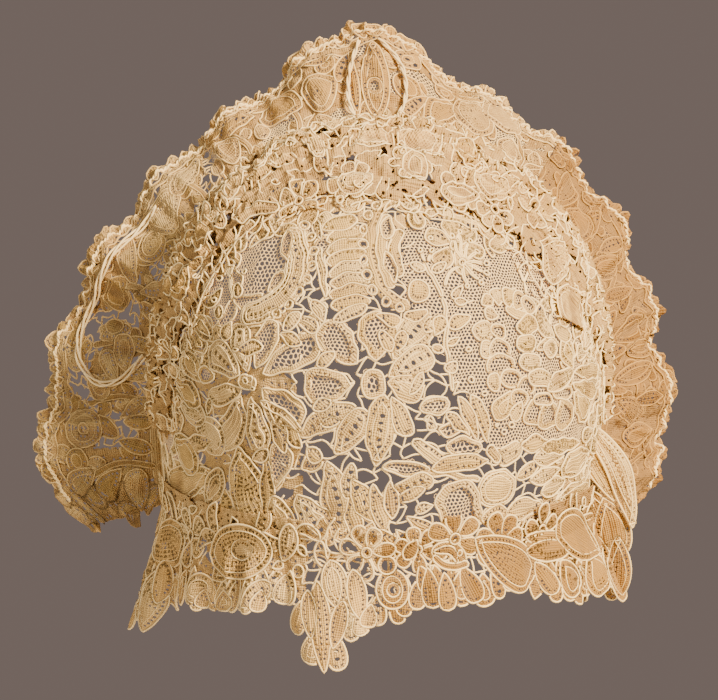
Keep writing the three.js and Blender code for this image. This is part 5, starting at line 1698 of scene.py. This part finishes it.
def lace_material(name, light, deep, stain, stained, thread=0.085, bump=0.9):
    """A lace finish: the old lace group feeding colour, roughness and a thread-deep bump."""
    material = bpy.data.materials.new(name)
    material.use_nodes = True
    nodes, links = material.node_tree.nodes, material.node_tree.links
    shader = nodes["Principled BSDF"]
    group = nodes.new("ShaderNodeGroup")
    group.node_tree = LACE
    lift = nodes.new("ShaderNodeBump")
    for node, key, value in (
        (group, "Light", (*light, 1)), (group, "Deep", (*deep, 1)), (group, "Stain", (*stain, 1)),
        (group, "Stained", stained), (group, "Shadow", (*SHADOW, 1)), (group, "Thread", thread),
        (lift, "Strength", bump), (lift, "Distance", WEAVE_DEPTH),
        (shader, "Specular IOR Level", 0.1), (shader, "Sheen Weight", SHEEN),
        (shader, "Sheen Tint", (1.0, 0.82, 0.55, 1)), (shader, "Sheen Roughness", 0.5),
    ):
        node.inputs[key].default_value = value
    links.new(group.outputs["Color"], shader.inputs["Base Color"])
    links.new(group.outputs["Roughness"], shader.inputs["Roughness"])
    links.new(group.outputs["Height"], lift.inputs["Height"])
    links.new(lift.outputs["Normal"], shader.inputs["Normal"])
    return material


# Each finish: light and deep colour, stain, how stained. Threads add their twist and its depth.
AMBER, TEA = (0.52, 0.26, 0.05), (0.32, 0.15, 0.03)
FINISHES = {
    name: lace_material(name, *rest)
    for name, *rest in (
        ("cream lace", (0.90, 0.64, 0.27), (0.72, 0.47, 0.15), AMBER, 0.22),
        ("cream flounce lace", (0.93, 0.66, 0.27), (0.76, 0.48, 0.16), AMBER, 0.4),
        ("cream outline thread", (0.97, 0.75, 0.36), (0.86, 0.59, 0.24), AMBER, 0.2, 0.05, 0.2),
        ("cream net thread", (0.84, 0.59, 0.27), (0.68, 0.43, 0.16), AMBER, 0.3, 0.05, 0.2),
        ("ruched cream lace", (0.80, 0.535, 0.205), (0.58, 0.35, 0.10), AMBER, 0.5),
        ("aged halo lace", (0.68, 0.445, 0.17), (0.48, 0.275, 0.075), AMBER, 0.5),
        ("shaded halo lace", (0.60, 0.43, 0.18), (0.36, 0.23, 0.07), TEA, 0.6),
        # The halo's right: a darker golden copy, painted shade over the lace's aged golden colour.
        ("shaded golden halo lace", (0.40, 0.205, 0.052), (0.22, 0.10, 0.02), (0.32, 0.13, 0.02), 0.75),
        ("golden flounce lace", (0.49, 0.27, 0.07), (0.31, 0.155, 0.035), (0.42, 0.20, 0.04), 0.6),
        # The lace under the band is dark as painted shade under the band, seen through the band's
        # slits.
        ("shaded inner lace", (0.42, 0.25, 0.08), (0.28, 0.14, 0.04), (0.20, 0.09, 0.02), 0.6),
        ("aged halo thread", (0.84, 0.61, 0.27), (0.66, 0.42, 0.14), AMBER, 0.3, 0.05, 0.3),
        ("shaded halo thread", (0.66, 0.47, 0.20), (0.48, 0.31, 0.11), AMBER, 0.3, 0.05, 0.3),
        # The halo's right thread, darker in the same way: painted shade over its golden colour.
        ("shaded golden halo thread", (0.52, 0.30, 0.09), (0.34, 0.17, 0.045), AMBER, 0.4, 0.05, 0.3),
        ("pale cord thread", (0.96, 0.76, 0.40), (0.82, 0.57, 0.24), AMBER, 0.3, 0.05, 0.3),
    )
}


def finish_piece(piece, finish, replaces=()):
    """Gives a piece its finish and its body, and hides the solids that it stands for."""
    piece.data.materials.append(FINISHES[finish])
    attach(piece, "root")
    if replaces:
        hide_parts(*replaces)


# The camera stands where the photographer stood: behind the cap and ten degrees above it. Its
# picture is 718 by 700 pixels, and the crown's centre lies to the right of the picture's middle and
# below it.
VIEW_TILT, VIEW_FAR, PIXEL_MM = math.radians(10), 1100.0, 0.391
FOCAL_PIXELS, PICTURE_PIXELS, SENSOR_MM = 2813, 718, 36
RIGHT_PIXELS, BELOW_PIXELS = 21, 30
ahead = np.array([0, math.cos(VIEW_TILT), -math.sin(VIEW_TILT)])
above = np.array([0, math.sin(VIEW_TILT), math.cos(VIEW_TILT)])
aside = np.array([-RIGHT_PIXELS * PIXEL_MM, 0, 0])
camera_data = bpy.data.cameras.new("camera")
camera_data.lens = FOCAL_PIXELS / PICTURE_PIXELS * SENSOR_MM
camera_data.sensor_width = SENSOR_MM
camera_data.clip_start, camera_data.clip_end = 0.01, 50
camera = bpy.data.objects.new("camera", camera_data)
bpy.context.collection.objects.link(camera)
camera.location = (CENTRE - ahead * VIEW_FAR + above * BELOW_PIXELS * PIXEL_MM + aside) * 0.001
camera.rotation_euler = (math.pi / 2 - VIEW_TILT, 0, 0)
bpy.context.scene.camera = camera

# The cords.
GATHER_THICK, LOOP_THICK, EDGE_THICK = 2.2, 1.4, 1.3
gather_path = route_points(GATHER_ROUTE, 22)
gather_shape = plied(
    catmull_rom(gather_path, 240), GATHER_THICK, plies=3, lay=34.0, slack=1.5
)
gather = put_mesh("gathering_bundle", *gather_shape)
finish_piece(gather, "pale cord thread", ("gathering_cord",))
loop_path = route_points(LOOP_ROUTE, 26)
loop_shape = plied(catmull_rom(loop_path, 190), LOOP_THICK, plies=2, lay=13.0)
loop = put_mesh("peak_loop_cord", *loop_shape)
finish_piece(loop, "pale cord thread", ("peak_loop",))
# The cord along the halo's edge is sewn down, five millimetres in from the edge.
edge_turn = np.linspace(-(END_TURN - 4), END_TURN - 4, 400)
edge_share = 1 - 5.0 / (smooth_table(HALO, 2, edge_turn) * HALO_WIDTH)
edge_line = halo_lay(edge_turn / END_TURN * HALO_ARC, edge_share * HALO_WIDTH, 1.0 + 0 * edge_turn)
edge_shape = plied(catmull_rom(edge_line, 900), EDGE_THICK, plies=2, lay=4.5)
edge_cord = put_mesh("halo_run_cord", *edge_shape)
finish_piece(edge_cord, "cream outline thread", ("halo_edge_cord",))

# The lace.
crown_cloth, crown_trim = make_crown()
halo_cloth, halo_trim = make_halo()
flounce_cloth, flounce_trim = make_flounce()
band_cloth, band_trim = make_band()
corner_cloth, corner_trim = make_corner()
CLOTH_OF_ITS_OWN = {
    "halo_lace_left": "shaded halo lace", "halo_lace_right": "shaded golden halo lace",
    "flounce_lace_right": "golden flounce lace", "corner_cloth": "golden flounce lace",
}
for pieces, finish, slot, node in (
    (crown_cloth, "cream lace", "lace_crown", "crown"),
    (halo_cloth, "aged halo lace", "lace_halo", "halo_frill"),
    (flounce_cloth, "cream flounce lace", "lace_flounce", "nape_flounce"),
    (band_cloth, "ruched cream lace", "lace_band", "ruched_band"),
    (corner_cloth, "cream lace", "lace_crown", None),
):
    for piece in pieces:
        own = CLOTH_OF_ITS_OWN.get(piece.name, finish)
        finish_piece(piece, own, (node,) if node else ())


def trim_finish(name):
    """The finish of a piece that goes with the cloth: cords, net, bars, or the inner lace."""
    if "halo" in name:
        sides = {"left": "shaded halo thread", "right": "shaded golden halo thread"}
        return sides.get(name.split("_")[-1], "aged halo thread")
    # The lace under the band and its bars take the dark finish of painted shade.
    if "under" in name:
        return "shaded inner lace"
    return "cream net thread" if "net" in name else "cream outline thread"


for pieces, slot in (
    (crown_trim, "lace_crown"), (halo_trim, "lace_halo"), (flounce_trim, "lace_flounce"),
    (band_trim, "lace_band"), (corner_trim, "lace_crown"),
):
    for piece in pieces:
        finish_piece(piece, trim_finish(piece.name))


# The stage: a pale floor well below, which falls away to taupe, and soft light.
FLOOR_REACH, FLOOR_DROP, FLOOR_SIDES = 0.62, 0.42, 96
floor_data = bpy.data.meshes.new("floor")
ring = np.linspace(0, 2 * np.pi, FLOOR_SIDES, endpoint=False)
rim = [(FLOOR_REACH * np.cos(a), FLOOR_REACH * np.sin(a) - 0.03, -FLOOR_DROP) for a in ring]
floor_data.from_pydata(rim, [], [tuple(range(FLOOR_SIDES))])
floor = bpy.data.objects.new("floor", floor_data)
bpy.context.collection.objects.link(floor)
floor_paint = bpy.data.materials.new("pale floor")
floor_paint.use_nodes = True
floor_shader = floor_paint.node_tree.nodes["Principled BSDF"]
floor_shader.inputs["Base Color"].default_value = (0.62, 0.59, 0.55, 1)
floor_shader.inputs["Roughness"].default_value = 0.9
floor_data.materials.append(floor_paint)

world = bpy.data.worlds.new("studio")
world.use_nodes = True
backdrop = world.node_tree.nodes["Background"]
backdrop.inputs["Color"].default_value = (0.172, 0.132, 0.117, 1)
backdrop.inputs["Strength"].default_value = 1.0
bpy.context.scene.world = world


def soft_light(name, place, size, power, colour):
    """A square soft light that faces the cap."""
    data = bpy.data.lights.new(name, "AREA")
    data.size, data.energy, data.color = size, power, colour
    lamp = bpy.data.objects.new(name, data)
    bpy.context.collection.objects.link(lamp)
    lamp.location = place
    way = Vector(CENTRE * 0.001 - np.array(place))
    lamp.rotation_euler = way.to_track_quat("-Z", "Y").to_euler()


soft_light("key", (0.85, -0.88, 0.85), size=0.34, power=92, colour=(1.0, 0.83, 0.60))
soft_light("fill", (-1.0, -1.0, 0.35), size=0.8, power=11, colour=(1.0, 0.92, 0.82))
soft_light("rim", (0.3, 1.1, 0.7), size=0.8, power=12, colour=(1.0, 0.84, 0.64))
